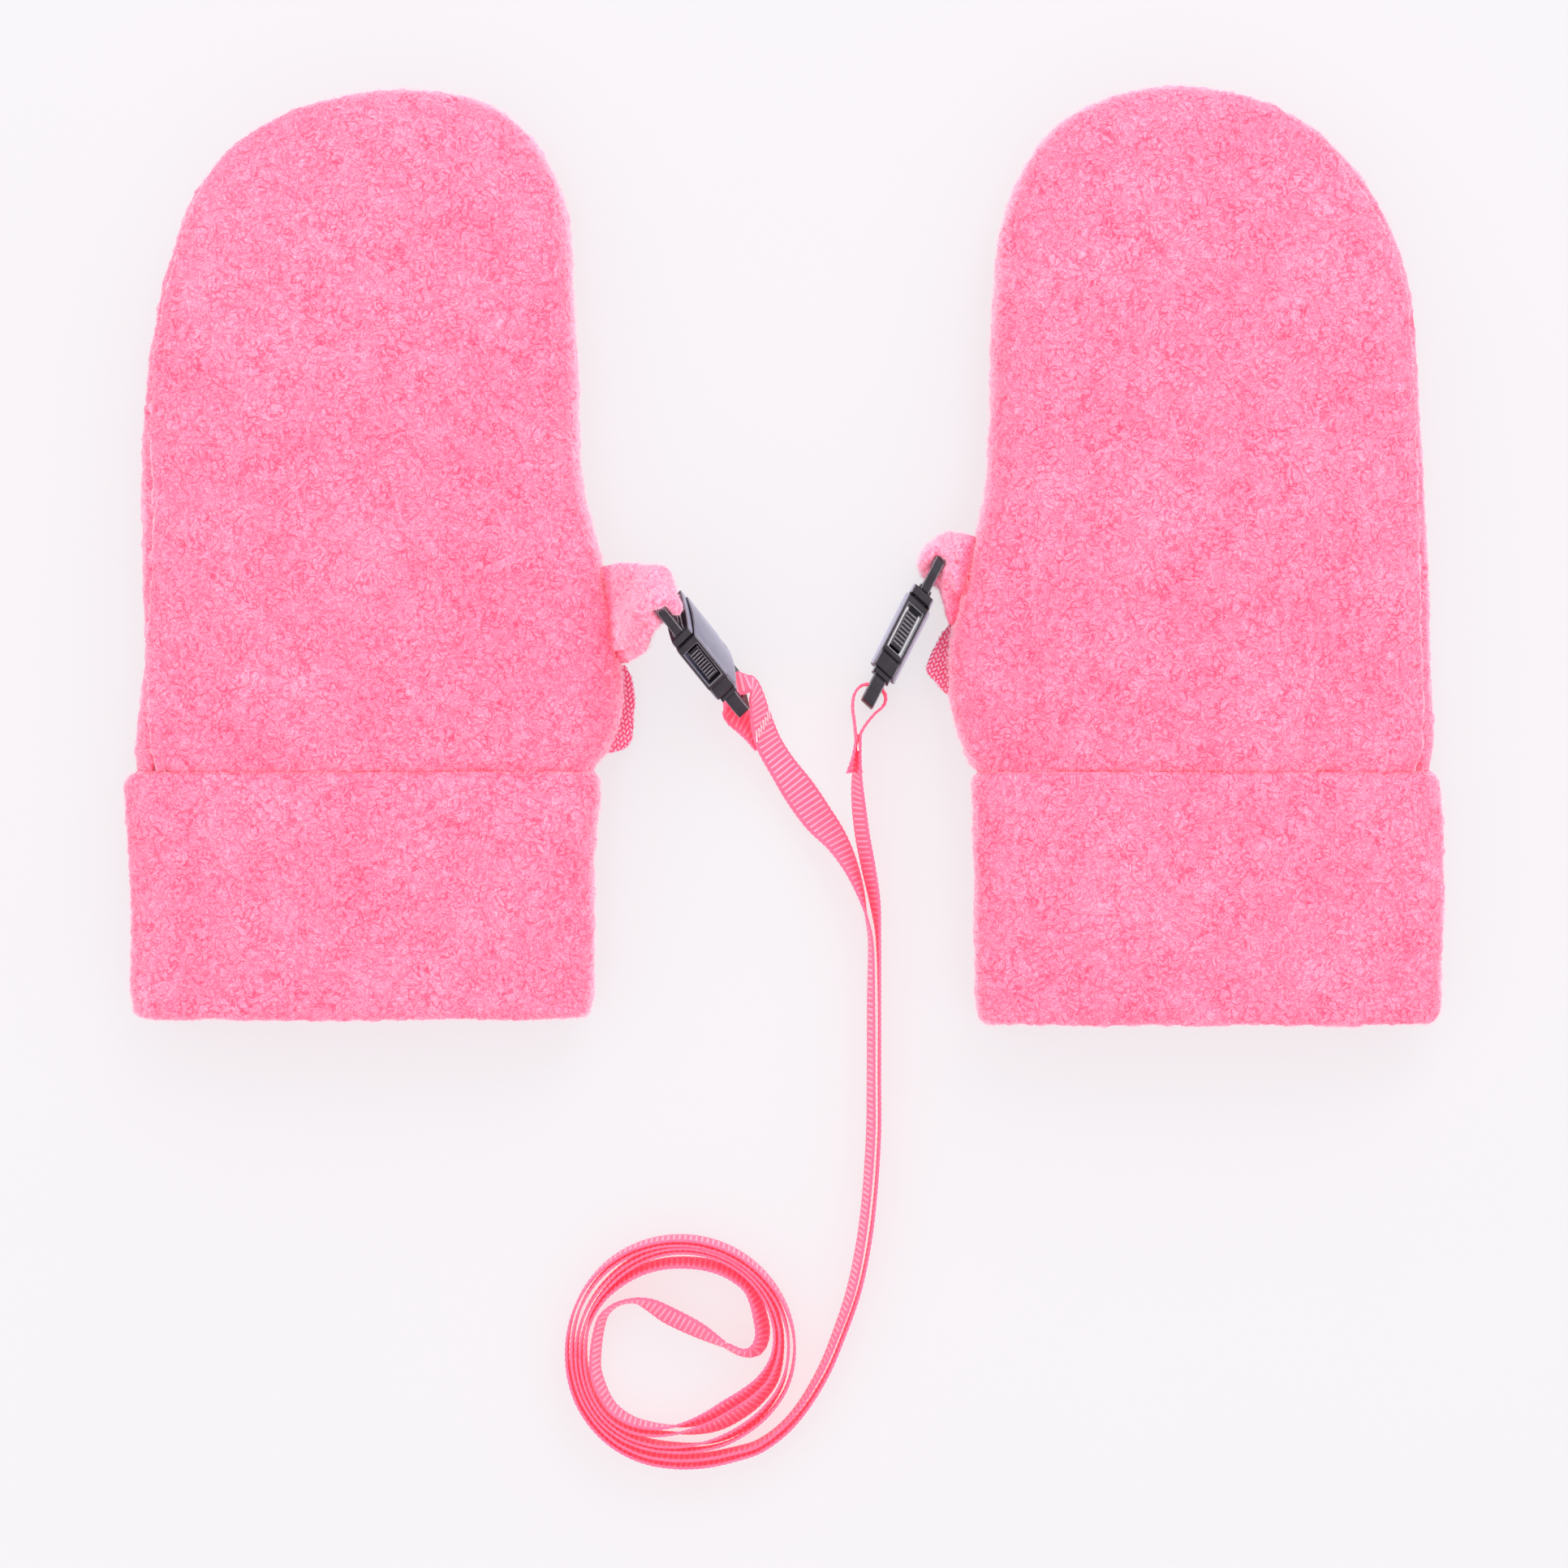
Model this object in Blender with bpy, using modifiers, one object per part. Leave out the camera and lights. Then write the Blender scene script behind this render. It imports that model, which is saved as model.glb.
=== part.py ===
"""A pair of thumbless fleece mittens for a baby, laid flat, on a ribbon string with two small clips.

Each mitten is a front and a back panel of fleece seamed round the hand, and a folded double cuff.
A fleece loop in the inner seam holds the plug of a clip, and the clip's socket holds the end of a ribbon.
The two halves of the ribbon run side by side, standing on edge, into a coil.

Tables and constants are in millimetres and degrees. They become metres as each mesh is made.
X is to the right across the pair, Y up the hands, Z up from the surface that the pair lies on.
"""

import math
from collections import namedtuple

import bmesh
import bpy
from mathutils import Matrix, Vector

MM = 0.001

# ---- driving dimensions -------------------------------------------------------------------------

FLEECE = 2.3            # one layer of fleece
CUFF_WALL = 3.8         # the cuff's two layers, pressed together
SEAM_GAP = 0.5          # between the two panels' cut edges, measured on the outside
JOIN_GAP = 0.3          # between the hand and the cuff
CREASE_DEPTH = 1.3      # how far both pieces turn in at the wrist seam
CREASE_REACH = 2.6      # how far from the wrist seam they start to turn in
WIDEST_SHARE = 0.42     # height of the widest line, as a share of the thickness
UNDER_ROUNDING = 7.5    # sideways reach of the rounding below the widest line
CROWN_POWER = 2.9       # squareness of the upper side: 2 is an ellipse

Finish = namedtuple("Finish", "name colour roughness")
FLEECE_FINISH = Finish("pink fleece", (0.98, 0.27, 0.45), 0.95)
TAPE_FINISH = Finish("rose knitted tape", (0.80, 0.16, 0.30), 0.85)
CLIP_FINISH = Finish("charcoal plastic", (0.035, 0.032, 0.036), 0.38)
RIBBON_FINISH = Finish("pink grosgrain", (0.96, 0.33, 0.46), 0.6)

# ---- tables -------------------------------------------------------------------------------------

# Hand: sections from the wrist seam (up = 0) to the centre of the fingertip's round.
# outer and inner are the reaches from the cuff's middle line, seam the height of the outer seam
# above the widest line, thick the height of the hand there.
HandRow = namedtuple("HandRow", "up outer inner seam thick")
LEFT_HAND = (
    HandRow(0.0, 36.8, 37.0, 5.6, 16.0),
    HandRow(5.0, 36.9, 40.2, 5.7, 16.6),
    HandRow(10.0, 36.2, 41.6, 5.2, 17.2),
    HandRow(14.5, 35.7, 41.9, 4.4, 17.4),
    HandRow(19.0, 34.9, 41.5, 3.2, 17.6),
    HandRow(24.0, 35.2, 40.6, 4.2, 17.8),
    HandRow(30.0, 35.3, 39.3, 5.3, 18.2),
    HandRow(36.0, 35.5, 37.7, 5.8, 18.6),
    HandRow(42.5, 35.7, 35.5, 6.0, 18.8),
    HandRow(50.5, 35.5, 34.7, 5.9, 19.0),
    HandRow(60.0, 35.0, 34.5, 5.1, 19.0),
    HandRow(69.0, 33.9, 34.3, 5.0, 18.8),
    HandRow(79.0, 31.7, 33.5, 4.6, 18.4),
)
RIGHT_HAND = (
    HandRow(0.0, 36.3, 37.6, 5.2, 16.0),
    HandRow(5.0, 36.8, 39.6, 5.2, 16.6),
    HandRow(10.0, 36.6, 41.2, 5.0, 17.2),
    HandRow(16.0, 35.7, 41.7, 4.6, 17.4),
    HandRow(22.0, 35.9, 41.2, 5.1, 17.8),
    HandRow(27.0, 35.8, 39.8, 5.2, 18.0),
    HandRow(32.5, 35.5, 38.8, 5.1, 18.3),
    HandRow(38.0, 35.1, 37.3, 5.0, 18.6),
    HandRow(44.0, 34.8, 35.6, 5.1, 18.8),
    HandRow(52.0, 34.4, 35.1, 5.2, 19.0),
    HandRow(61.0, 33.9, 35.0, 4.9, 19.0),
    HandRow(70.0, 33.3, 34.8, 4.8, 18.8),
    HandRow(79.0, 32.4, 34.1, 5.2, 18.4),
)

# Fingertip: reach from the centre of its round, by the turn from the inner to the outer side.
TipRow = namedtuple("TipRow", "turn reach seam")
LEFT_TIP = (
    TipRow(0.0, 33.0, -4.6),
    TipRow(22.0, 34.1, -4.6),
    TipRow(40.0, 35.1, -4.2),
    TipRow(58.0, 33.9, -3.4),
    TipRow(78.0, 30.9, -1.8),
    TipRow(98.0, 29.2, 0.6),
    TipRow(116.0, 29.7, 2.8),
    TipRow(134.0, 30.6, 4.2),
    TipRow(152.0, 31.1, 4.8),
    TipRow(167.0, 31.6, 4.8),
    TipRow(180.0, 32.2, 4.6),
)
RIGHT_TIP = (
    TipRow(0.0, 33.3, -4.6),
    TipRow(20.0, 33.7, -4.6),
    TipRow(41.0, 34.5, -4.2),
    TipRow(60.0, 33.2, -3.2),
    TipRow(81.0, 31.0, -1.0),
    TipRow(103.0, 30.2, 1.8),
    TipRow(123.0, 30.1, 4.4),
    TipRow(140.0, 30.3, 5.6),
    TipRow(156.0, 30.8, 5.8),
    TipRow(169.0, 32.0, 5.6),
    TipRow(180.0, 33.2, 5.2),
)

# Cuff: sections from the wrist seam down to the mouth.
CuffRow = namedtuple("CuffRow", "down outer inner thick")
LEFT_CUFF = (
    CuffRow(0.0, 38.0, 38.2, 15.8),
    CuffRow(4.0, 38.1, 38.2, 16.0),
    CuffRow(14.0, 37.2, 37.0, 15.8),
    CuffRow(25.0, 37.0, 37.0, 15.4),
    CuffRow(34.0, 37.1, 37.0, 15.2),
    CuffRow(39.6, 36.9, 36.9, 15.0),
)
RIGHT_CUFF = (
    CuffRow(0.0, 37.0, 37.9, 15.8),
    CuffRow(4.0, 37.3, 37.6, 16.0),
    CuffRow(15.0, 37.9, 37.4, 15.8),
    CuffRow(26.0, 37.4, 37.5, 15.4),
    CuffRow(35.0, 37.2, 37.2, 15.2),
    CuffRow(40.4, 37.1, 37.0, 15.0),
)

# Largest folds of the front panels, in the mitten's own plane: a soft trough (depth above 0) or
# ridge (below 0) along a line. x is towards the inner side.
FoldRow = namedtuple("FoldRow", "x0 up0 x1 up1 depth width")
LEFT_FOLDS = (
    FoldRow(9.0, 49.0, 27.0, 41.0, 1.3, 5.0),
    FoldRow(12.0, 39.0, 32.0, 33.0, -1.0, 5.5),
    FoldRow(-4.0, 31.0, 3.0, 24.0, 1.1, 6.0),
    FoldRow(-33.0, 18.0, -24.0, 9.0, 1.2, 3.5),
)
RIGHT_FOLDS = (
    FoldRow(36.0, 24.0, 26.0, 30.0, 0.9, 5.0),
    FoldRow(-33.0, 16.0, -25.0, 9.0, 0.9, 3.5),
)

# Fleece loops, in the pair's frame: the strip's middle line, its width and how far its top edge
# leans towards -Y, from the seam to the clip's end frame and from there back to the seam.
LoopRow = namedtuple("LoopRow", "x y z width thick lean")
LOOP_GAP = 0.4          # between the loop's ends and the side of the hand
LEFT_LOOP_OUT = (
    LoopRow(-27.3, -8.5, 10.2, 14.4, 2.3, 78.0),
    LoopRow(-25.4, -7.9, 13.4, 14.0, 2.3, 72.0),
    LoopRow(-23.0, -6.9, 17.2, 12.4, 2.2, 60.0),
    LoopRow(-20.95, -4.8, 21.0, 8.8, 1.7, 38.0),
    LoopRow(-18.8, -4.7, 20.75, 8.6, 1.7, 38.0),
)
LEFT_LOOP_BACK = (
    LoopRow(-21.3, -9.9, 17.1, 8.0, 1.9, 40.0),
    LoopRow(-22.6, -11.7, 14.0, 9.4, 2.2, 54.0),
    LoopRow(-24.6, -12.4, 10.2, 9.8, 2.3, 64.0),
    LoopRow(-26.2, -12.8, 7.4, 9.8, 2.3, 70.0),
)
RIGHT_LOOP_OUT = (
    LoopRow(28.9, -1.5, 9.6, 10.2, 2.3, 74.0),
    LoopRow(27.8, -1.0, 9.7, 9.8, 2.3, 68.0),
    LoopRow(27.0, 0.2, 8.8, 8.8, 2.1, 54.0),
    LoopRow(25.75, 1.85, 6.8, 8.6, 1.8, 21.0),
    LoopRow(23.9, 1.2, 5.9, 8.6, 1.7, 4.0),
)
RIGHT_LOOP_BACK = (
    LoopRow(26.3, -5.8, 6.4, 8.2, 2.0, 44.0),
    LoopRow(27.2, -6.7, 6.6, 8.8, 2.3, 60.0),
    LoopRow(27.9, -7.2, 6.4, 8.6, 2.3, 68.0),
)

# Knitted tapes folded into the inner seam: how far each stands out beyond the hand's outline.
TabRow = namedtuple("TabRow", "up beyond")
TAB_THICK = 1.2
TAB_MIDDLE = 3.2        # height of the tape's middle, at the seam
TAB_TUCK = 0.4          # how far the tape reaches in under the rounding of the hand
LEFT_TAB = (
    TabRow(3.0, 0.3),
    TabRow(3.3, 1.5),
    TabRow(3.7, 2.4),
    TabRow(4.4, 2.8),
    TabRow(5.6, 2.7),
    TabRow(7.2, 2.3),
    TabRow(9.0, 1.9),
    TabRow(10.8, 1.8),
    TabRow(12.6, 1.6),
    TabRow(14.4, 1.3),
    TabRow(15.8, 0.95),
    TabRow(17.3, 0.2),
)
RIGHT_TAB = (
    TabRow(12.4, 0.2),
    TabRow(13.4, 1.0),
    TabRow(14.3, 1.7),
    TabRow(15.2, 2.6),
    TabRow(15.9, 3.1),
    TabRow(16.6, 3.35),
    TabRow(17.4, 3.3),
    TabRow(18.7, 2.85),
    TabRow(19.8, 2.45),
    TabRow(21.0, 1.9),
    TabRow(22.2, 1.4),
    TabRow(23.4, 0.8),
    TabRow(24.4, 0.2),
)

# Mittens: the place of the wrist seam's middle, the side on which the string is, and the tables.
Mitten = namedtuple("Mitten", "name x y toward_string hand tip cuff folds tab")
LEFT = Mitten("left", -67.55, -34.55, 1.0, LEFT_HAND, LEFT_TIP, LEFT_CUFF, LEFT_FOLDS, LEFT_TAB)
RIGHT = Mitten("right", 67.95, -34.55, -1.0, RIGHT_HAND, RIGHT_TIP, RIGHT_CUFF, RIGHT_FOLDS, RIGHT_TAB)

# ---- clip: along its own X from the plug's end, width in its own Y, thickness in its own Z ------

CLIP_LENGTH = 26.2
CLIP_WIDTH = 11.0
CLIP_THICK = 4.4
MOUTH = 7.9             # where the socket starts, along the clip
EDGE_ROUNDING = 0.25

# Blocks that a clip half is made of or cut with. mirrored ones stand on both sides of the middle.
Block = namedtuple("Block", "start end width thick across corner mirrored")
PLUG_BLOCKS = (
    Block(0.0, 6.6, 10.2, 1.5, 0.0, 1.3, False),                        # end frame
    Block(5.0, 6.8, 9.0, 2.4, 0.0, 0.4, False),                         # neck
    Block(5.9, MOUTH - 0.3, 10.6, 3.6, 0.0, 0.6, False),                # flange
    Block(7.2, 13.4, 1.8, 1.9, 0.0, 0.4, False),                        # middle guide
    Block(7.2, 10.6, 1.3, 1.9, 3.2, 0.3, True),                         # arms
    Block(9.9, 16.2, 1.7, 1.9, 4.35, 0.5, True),                        # squeeze buttons
)
PLUG_CUTS = (Block(1.4, 4.8, 7.8, 9.0, 0.0, 0.3, False),)               # slot for the fleece loop
SOCKET_BLOCKS = (
    Block(MOUTH, 18.0, CLIP_WIDTH, CLIP_THICK, 0.0, 0.7, False),        # shell
    Block(17.2, 21.4, 10.6, 3.8, 0.0, 0.9, False),                      # block behind it
    Block(20.6, CLIP_LENGTH, 10.0, 2.2, 0.0, 1.2, False),               # end frame
)
SOCKET_CUTS = (
    Block(6.0, 17.2, 8.6, 2.6, 0.0, 0.0, False),                        # tunnel
    Block(9.3, 16.7, 16.0, 2.6, 0.0, 0.0, False),                       # side windows
    Block(22.0, 24.4, 7.0, 9.0, 0.0, 0.3, False),                       # slot for the ribbon
)

# How the fleece loop goes through the slot of the plug, and the ribbon round the bar of the socket:
# how far along the clip the strip's middle is, and how far off the clip's middle plane, towards its
# outer face.
BarRow = namedtuple("BarRow", "along off")
SlotRow = namedtuple("SlotRow", "along off width thick")
LOOP_THROUGH_SLOT = (
    SlotRow(0.8, 2.15, 8.0, 1.7),
    SlotRow(2.4, 1.65, 7.2, 1.7),
    SlotRow(3.1, 0.0, 7.2, 1.7),
    SlotRow(3.1, -1.9, 7.2, 1.7),
)
LEFT_TURN = (
    BarRow(25.6, -2.9),
    BarRow(24.5, -2.5),
    BarRow(23.5, -1.4),
    BarRow(23.2, 0.0),
    BarRow(23.7, 1.6),
    BarRow(24.8, 2.6),
)
RIGHT_TURN = (
    BarRow(27.4, 1.9),
    BarRow(25.4, 2.5),
    BarRow(23.7, 2.0),
    BarRow(22.75, 0.0),
    BarRow(23.2, -1.65),
    BarRow(24.1, -2.4),
    BarRow(25.3, -2.5),
    BarRow(26.8, -1.9),
)

# Where the socket's far end lies, and how the clip's length is turned: heading from +X, nose down
# by pitch, and turned about its length by roll. outer_face is the face, along the clip's own Z,
# that is away from its mitten.
Clip = namedtuple("Clip", "name x y z heading pitch roll outer_face")
LEFT_CLIP = Clip("left", -6.8, -22.6, 4.5, -50.9, 36.0, 16.0, -1.0)
RIGHT_CLIP = Clip("right", 13.25, -23.75, 5.7, 243.0, 0.0, 0.0, 1.0)

# ---- ribbon string ------------------------------------------------------------------------------

RIBBON_WIDTH = 6.0
RIBBON_THICK = 0.5
COIL_CENTRE = (-16.7, -128.1)
COIL_OUTER = 18.7
COIL_INNER = 13.5
COIL_STEPS = 48
RIBBON_FLOOR = 0.15     # lower edge of a ribbon standing on edge

# Ribbon routes: the middle of the ribbon, and how far its top edge leans to the right of the way
# it runs. Each ribbon's tail is sewn down on its run, just past the clip.
RibbonRow = namedtuple("RibbonRow", "x y z lean")
LEFT_TAIL = (
    RibbonRow(-3.4, -29.5, 2.6, -43.0),
    RibbonRow(-4.8, -28.0, 3.0, -41.0),
    RibbonRow(-6.4, -26.6, 3.4, -39.0),
    RibbonRow(-8.1, -25.2, 3.9, -37.0),
)
LEFT_RUN = (
    RibbonRow(-4.5, -22.6, 4.9, 24.0),
    RibbonRow(-4.0, -25.0, 4.2, 31.0),
    RibbonRow(-3.4, -27.4, 3.6, 39.0),
    RibbonRow(-2.4, -30.1, 3.0, 44.0),
    RibbonRow(-0.2, -33.8, 2.4, 49.0),
    RibbonRow(2.7, -38.0, 1.9, 63.0),
    RibbonRow(5.5, -42.0, 2.1, 58.0),
    RibbonRow(8.5, -45.8, 2.7, 38.0),
    RibbonRow(10.6, -49.5, 3.0, 24.0),
    RibbonRow(12.2, -53.6, 3.1, 12.0),
    RibbonRow(13.3, -57.9, 3.2, 0.0),
    RibbonRow(14.0, -62.0, 3.2, -4.0),
    RibbonRow(14.05, -71.0, 3.2, -8.0),
    RibbonRow(14.05, -83.3, 3.2, -9.0),
    RibbonRow(13.95, -94.0, 3.2, -10.0),
    RibbonRow(12.9, -106.9, 3.2, -9.0),
    RibbonRow(11.1, -117.1, 3.2, -9.0),
    RibbonRow(8.75, -124.3, 3.2, -6.0),
    RibbonRow(5.5, -131.9, 3.2, -3.0),
    RibbonRow(1.0, -138.7, 3.2, 0.0),
    RibbonRow(-3.9, -142.8, 3.2, 0.0),
)
RIGHT_TAIL = (
    RibbonRow(11.35, -34.7, 5.3, -26.0),
    RibbonRow(11.4, -32.9, 5.4, -14.0),
    RibbonRow(11.5, -30.8, 5.6, -5.0),
    RibbonRow(11.5, -28.8, 5.7, 0.0),
    RibbonRow(11.3, -26.6, 5.7, 0.0),
)
RIGHT_RUN = (
    RibbonRow(13.2, -26.9, 5.7, 0.0),
    RibbonRow(12.35, -28.4, 5.7, 0.0),
    RibbonRow(12.15, -30.2, 5.5, -2.0),
    RibbonRow(12.0, -32.2, 5.1, -6.0),
    RibbonRow(11.8, -35.2, 4.6, -12.0),
    RibbonRow(12.0, -39.4, 3.9, -18.0),
    RibbonRow(12.6, -44.5, 3.6, -20.0),
    RibbonRow(13.6, -49.9, 3.4, -19.0),
    RibbonRow(14.6, -55.2, 3.3, -14.0),
    RibbonRow(15.2, -61.0, 3.2, -4.0),
    RibbonRow(15.4, -71.0, 3.2, 0.0),
    RibbonRow(15.4, -83.3, 3.2, 0.0),
    RibbonRow(15.35, -94.0, 3.2, 0.0),
    RibbonRow(14.3, -107.1, 3.2, 0.0),
    RibbonRow(12.45, -117.3, 3.2, 0.0),
    RibbonRow(9.9, -124.8, 3.2, 0.0),
    RibbonRow(6.55, -132.5, 3.2, 0.0),
    RibbonRow(1.8, -139.4, 3.2, 0.0),
    RibbonRow(-3.3, -143.6, 3.2, 0.0),
)
# The ribbon's own middle, folded back inside the coil.
MIDDLE_RUN = (
    RibbonRow(-4.7, -123.6, 3.2, 0.0),
    RibbonRow(-4.2, -126.0, 3.2, 0.0),
    RibbonRow(-4.6, -127.9, 3.1, 8.0),
    RibbonRow(-6.2, -128.7, 3.1, 16.0),
    RibbonRow(-8.6, -127.5, 3.0, 24.0),
    RibbonRow(-13.6, -124.8, 2.9, 32.0),
    RibbonRow(-18.6, -122.3, 2.9, 34.0),
    RibbonRow(-21.6, -120.6, 3.0, 26.0),
    RibbonRow(-24.0, -119.9, 3.1, 14.0),
    RibbonRow(-26.2, -120.5, 3.2, 4.0),
    RibbonRow(-28.7, -124.3, 3.2, 0.0),
)

# ---- helpers ------------------------------------------------------------------------------------


def clear_scene():
    for item in list(bpy.data.objects):
        bpy.data.objects.remove(item)


def collection(name):
    made = bpy.data.collections.new(name)
    bpy.context.scene.collection.children.link(made)
    return made


def own_material(name, finish):
    made = bpy.data.materials.new(f"{name} {finish.name}")
    made.use_nodes = True
    shader = made.node_tree.nodes["Principled BSDF"]
    shader.inputs["Base Color"].default_value = (*finish.colour, 1.0)
    shader.inputs["Roughness"].default_value = finish.roughness
    return made


def through(rows, key, field, at):
    """A smooth curve through a table's column, with each row's slope taken from its neighbours."""
    knots = [getattr(row, key) for row in rows]
    values = [getattr(row, field) for row in rows]
    at = min(max(at, knots[0]), knots[-1])
    index = max(i for i in range(len(knots) - 1) if knots[i] <= at)

    def slope(i):
        before, after = max(i - 1, 0), min(i + 1, len(knots) - 1)
        return (values[after] - values[before]) / (knots[after] - knots[before])

    span = knots[index + 1] - knots[index]
    t = (at - knots[index]) / span
    return (
        (2 * t**3 - 3 * t**2 + 1) * values[index]
        + (t**3 - 2 * t**2 + t) * span * slope(index)
        + (3 * t**2 - 2 * t**3) * values[index + 1]
        + (t**3 - t**2) * span * slope(index + 1)
    )


def finish_object(name, mesh, finish, place_in):
    made = bpy.data.objects.new(name, mesh)
    made.data.materials.append(own_material(name, finish))
    place_in.objects.link(made)
    return made


def mesh_from(name, work):
    """Welds what meets, turns the faces outward and makes the mesh."""
    bmesh.ops.remove_doubles(work, verts=work.verts, dist=1e-6)
    bmesh.ops.recalc_face_normals(work, faces=work.faces)
    mesh = bpy.data.meshes.new(name)
    work.to_mesh(mesh)
    work.free()
    mesh.shade_smooth()
    return mesh


def skin(work, lines, closed_round=False):
    """Faces between neighbouring lines of points, each line with the same number of points."""
    rows = [[work.verts.new(Vector(point) * MM) for point in line] for line in lines]
    pairs = list(zip(rows, rows[1:]))
    if closed_round:
        pairs.append((rows[-1], rows[0]))
    for first, second in pairs:
        for a, b, c, d in zip(first, first[1:], second[1:], second):
            work.faces.new((a, b, c, d))


# ---- the mitten's section -----------------------------------------------------------------------

# Turn of a point on the section, seen from the widest line: 90 is the crown, 0 the widest point,
# -90 where the flat underside starts, and FLAT_MIDDLE the middle of the underside.
CROWN = 90.0
FLAT_START = -90.0
FLAT_MIDDLE = -180.0


def section_point(turn, reach, thick, inset):
    """A point of half a section, as its distance from the middle and its height.

    inset moves the whole section inwards: by the wall for the inner face, or by the crease."""
    widest = WIDEST_SHARE * thick
    if turn >= 0.0:
        across = abs(math.cos(math.radians(turn)))
        rise = math.sin(math.radians(turn))
        scale = (across**CROWN_POWER + rise**CROWN_POWER) ** (-1.0 / CROWN_POWER)
        return (reach - inset) * across * scale, widest + (thick - widest - inset) * rise * scale
    rounding = UNDER_ROUNDING - inset
    flat_edge = reach - UNDER_ROUNDING
    if turn >= FLAT_START:
        angle = math.radians(-turn)
        return flat_edge + rounding * math.cos(angle), widest - (widest - inset) * math.sin(angle)
    share = (turn - FLAT_START) / (FLAT_MIDDLE - FLAT_START)
    return flat_edge * (1.0 - share), inset


def seam_turn(rise, thick):
    """The turn at which the section is a given height above (or below) its widest line."""
    widest = WIDEST_SHARE * thick
    if rise >= 0.0:
        share = (rise / (thick - widest)) ** CROWN_POWER
        return math.degrees(math.atan((share / (1.0 - share)) ** (1.0 / CROWN_POWER)))
    return -math.degrees(math.asin(min(-rise / widest, 1.0)))


def turn_step(turn, reach, thick, length):
    """How far the turn changes over a given length of the section's outside."""
    before = section_point(turn - 0.5, reach, thick, 0.0)
    after = section_point(turn + 0.5, reach, thick, 0.0)
    return length / math.dist(before, after)


def crease_inset(distance):
    """How far the outside turns in towards the wrist seam, a quarter of an ellipse."""
    if distance >= CREASE_REACH:
        return 0.0
    return CREASE_DEPTH * (1.0 - math.sqrt(1.0 - (1.0 - distance / CREASE_REACH) ** 2))


def fold_drop(folds, x, up):
    """How far the folds lower the front at a place of the mitten's own plane."""
    drop = 0.0
    for fold in folds:
        run = Vector((fold.x1 - fold.x0, fold.up1 - fold.up0))
        offset = Vector((x - fold.x0, up - fold.up0))
        along = min(max(offset.dot(run) / run.length_squared, 0.0), 1.0)
        distance = (offset - run * along).length
        fade = 0.35 + 0.65 * math.sin(math.pi * (0.15 + 0.7 * along))
        drop += fold.depth * fade * math.exp(-((distance / fold.width) ** 2))
    return drop


# ---- the hand -----------------------------------------------------------------------------------

Ray = namedtuple("Ray", "x up dx dup reach thick seam crease")

HAND_LEVELS = (0.15, 0.9, 2.6, 6.0, 10.0, 14.5, 19.0, 23.5, 29.0, 35.0, 41.0, 48.0, 56.0, 64.0, 72.0, 79.0)
TIP_STEPS = 12
FRONT_SHARES = (0.0, 0.08, 0.17, 0.27, 0.40, 0.56, 0.76, 1.0)
BACK_SHARES = (0.0, 0.25, 0.5, 0.75, 1.0)


def hand_rays(mitten):
    """Half sections all round the hand: up the inner side, round the fingertip, down the outer side.

    x is towards the inner side, and each ray runs from the middle line outwards."""
    hand, tip = mitten.hand, mitten.tip
    inner_side, outer_side = [], []
    for up in HAND_LEVELS:
        outer = through(hand, "up", "outer", up)
        inner = through(hand, "up", "inner", up)
        thick = through(hand, "up", "thick", up)
        seam = through(hand, "up", "seam", up)
        middle = (inner - outer) / 2.0
        reach = (inner + outer) / 2.0
        crease = crease_inset(up)
        inner_side.append(Ray(middle, up, 1.0, 0.0, reach, thick, tip[0].seam, crease))
        outer_side.append(Ray(middle, up, -1.0, 0.0, reach, thick, seam, crease))
    top = inner_side[-1]
    fan = []
    for step in range(1, TIP_STEPS):
        turn = 180.0 * step / TIP_STEPS
        reach = through(tip, "turn", "reach", turn)
        seam = through(tip, "turn", "seam", turn)
        across, along = math.cos(math.radians(turn)), math.sin(math.radians(turn))
        fan.append(Ray(top.x, top.up, across, along, reach, top.thick, seam, 0.0))
    return inner_side + fan + outer_side[::-1]


def ray_point(mitten, ray, turn, wall):
    """A point of the hand's outside (wall 0) or inside, in the pair's frame."""
    inset = ray.crease if wall == 0.0 else wall
    distance, height = section_point(turn, ray.reach, ray.thick, inset)
    x = ray.x + ray.dx * distance
    up = ray.up + ray.dup * distance
    if turn > 0.0:
        height -= fold_drop(mitten.folds, x, up) * math.sin(math.radians(turn)) ** 2
    return (mitten.x + mitten.toward_string * x, mitten.y + up, height)


def front_turns(ray):
    """Turns of the front panel's points, from the seam up to the crown."""
    start = seam_turn(ray.seam, ray.thick)
    start += turn_step(start, ray.reach, ray.thick, SEAM_GAP / 2.0)
    return [start + (CROWN - start) * share for share in FRONT_SHARES]


def back_turns(ray):
    """Turns of the back panel's points, from the seam round and under to the middle."""
    start = seam_turn(ray.seam, ray.thick)
    start -= turn_step(start, ray.reach, ray.thick, SEAM_GAP / 2.0)
    round_turns = [start + (FLAT_START - start) * share for share in BACK_SHARES]
    return round_turns + [(FLAT_START + FLAT_MIDDLE) / 2.0, FLAT_MIDDLE]


def panel(mitten, name, turns_of, finish, place_in):
    """One fleece panel: its outside, its inside and the cut edges between them."""
    work = bmesh.new()
    outside, inside = [], []
    for ray in hand_rays(mitten):
        turns = turns_of(ray)
        outside.append([ray_point(mitten, ray, turn, 0.0) for turn in turns])
        inside.append([ray_point(mitten, ray, turn, FLEECE) for turn in turns])
    skin(work, outside)
    skin(work, inside)
    skin(work, [[out[0], ins[0]] for out, ins in zip(outside, inside)])
    skin(work, [outside[0], inside[0]])
    skin(work, [outside[-1], inside[-1]])
    return finish_object(name, mesh_from(name, work), finish, place_in)


# ---- the cuff -----------------------------------------------------------------------------------

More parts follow.
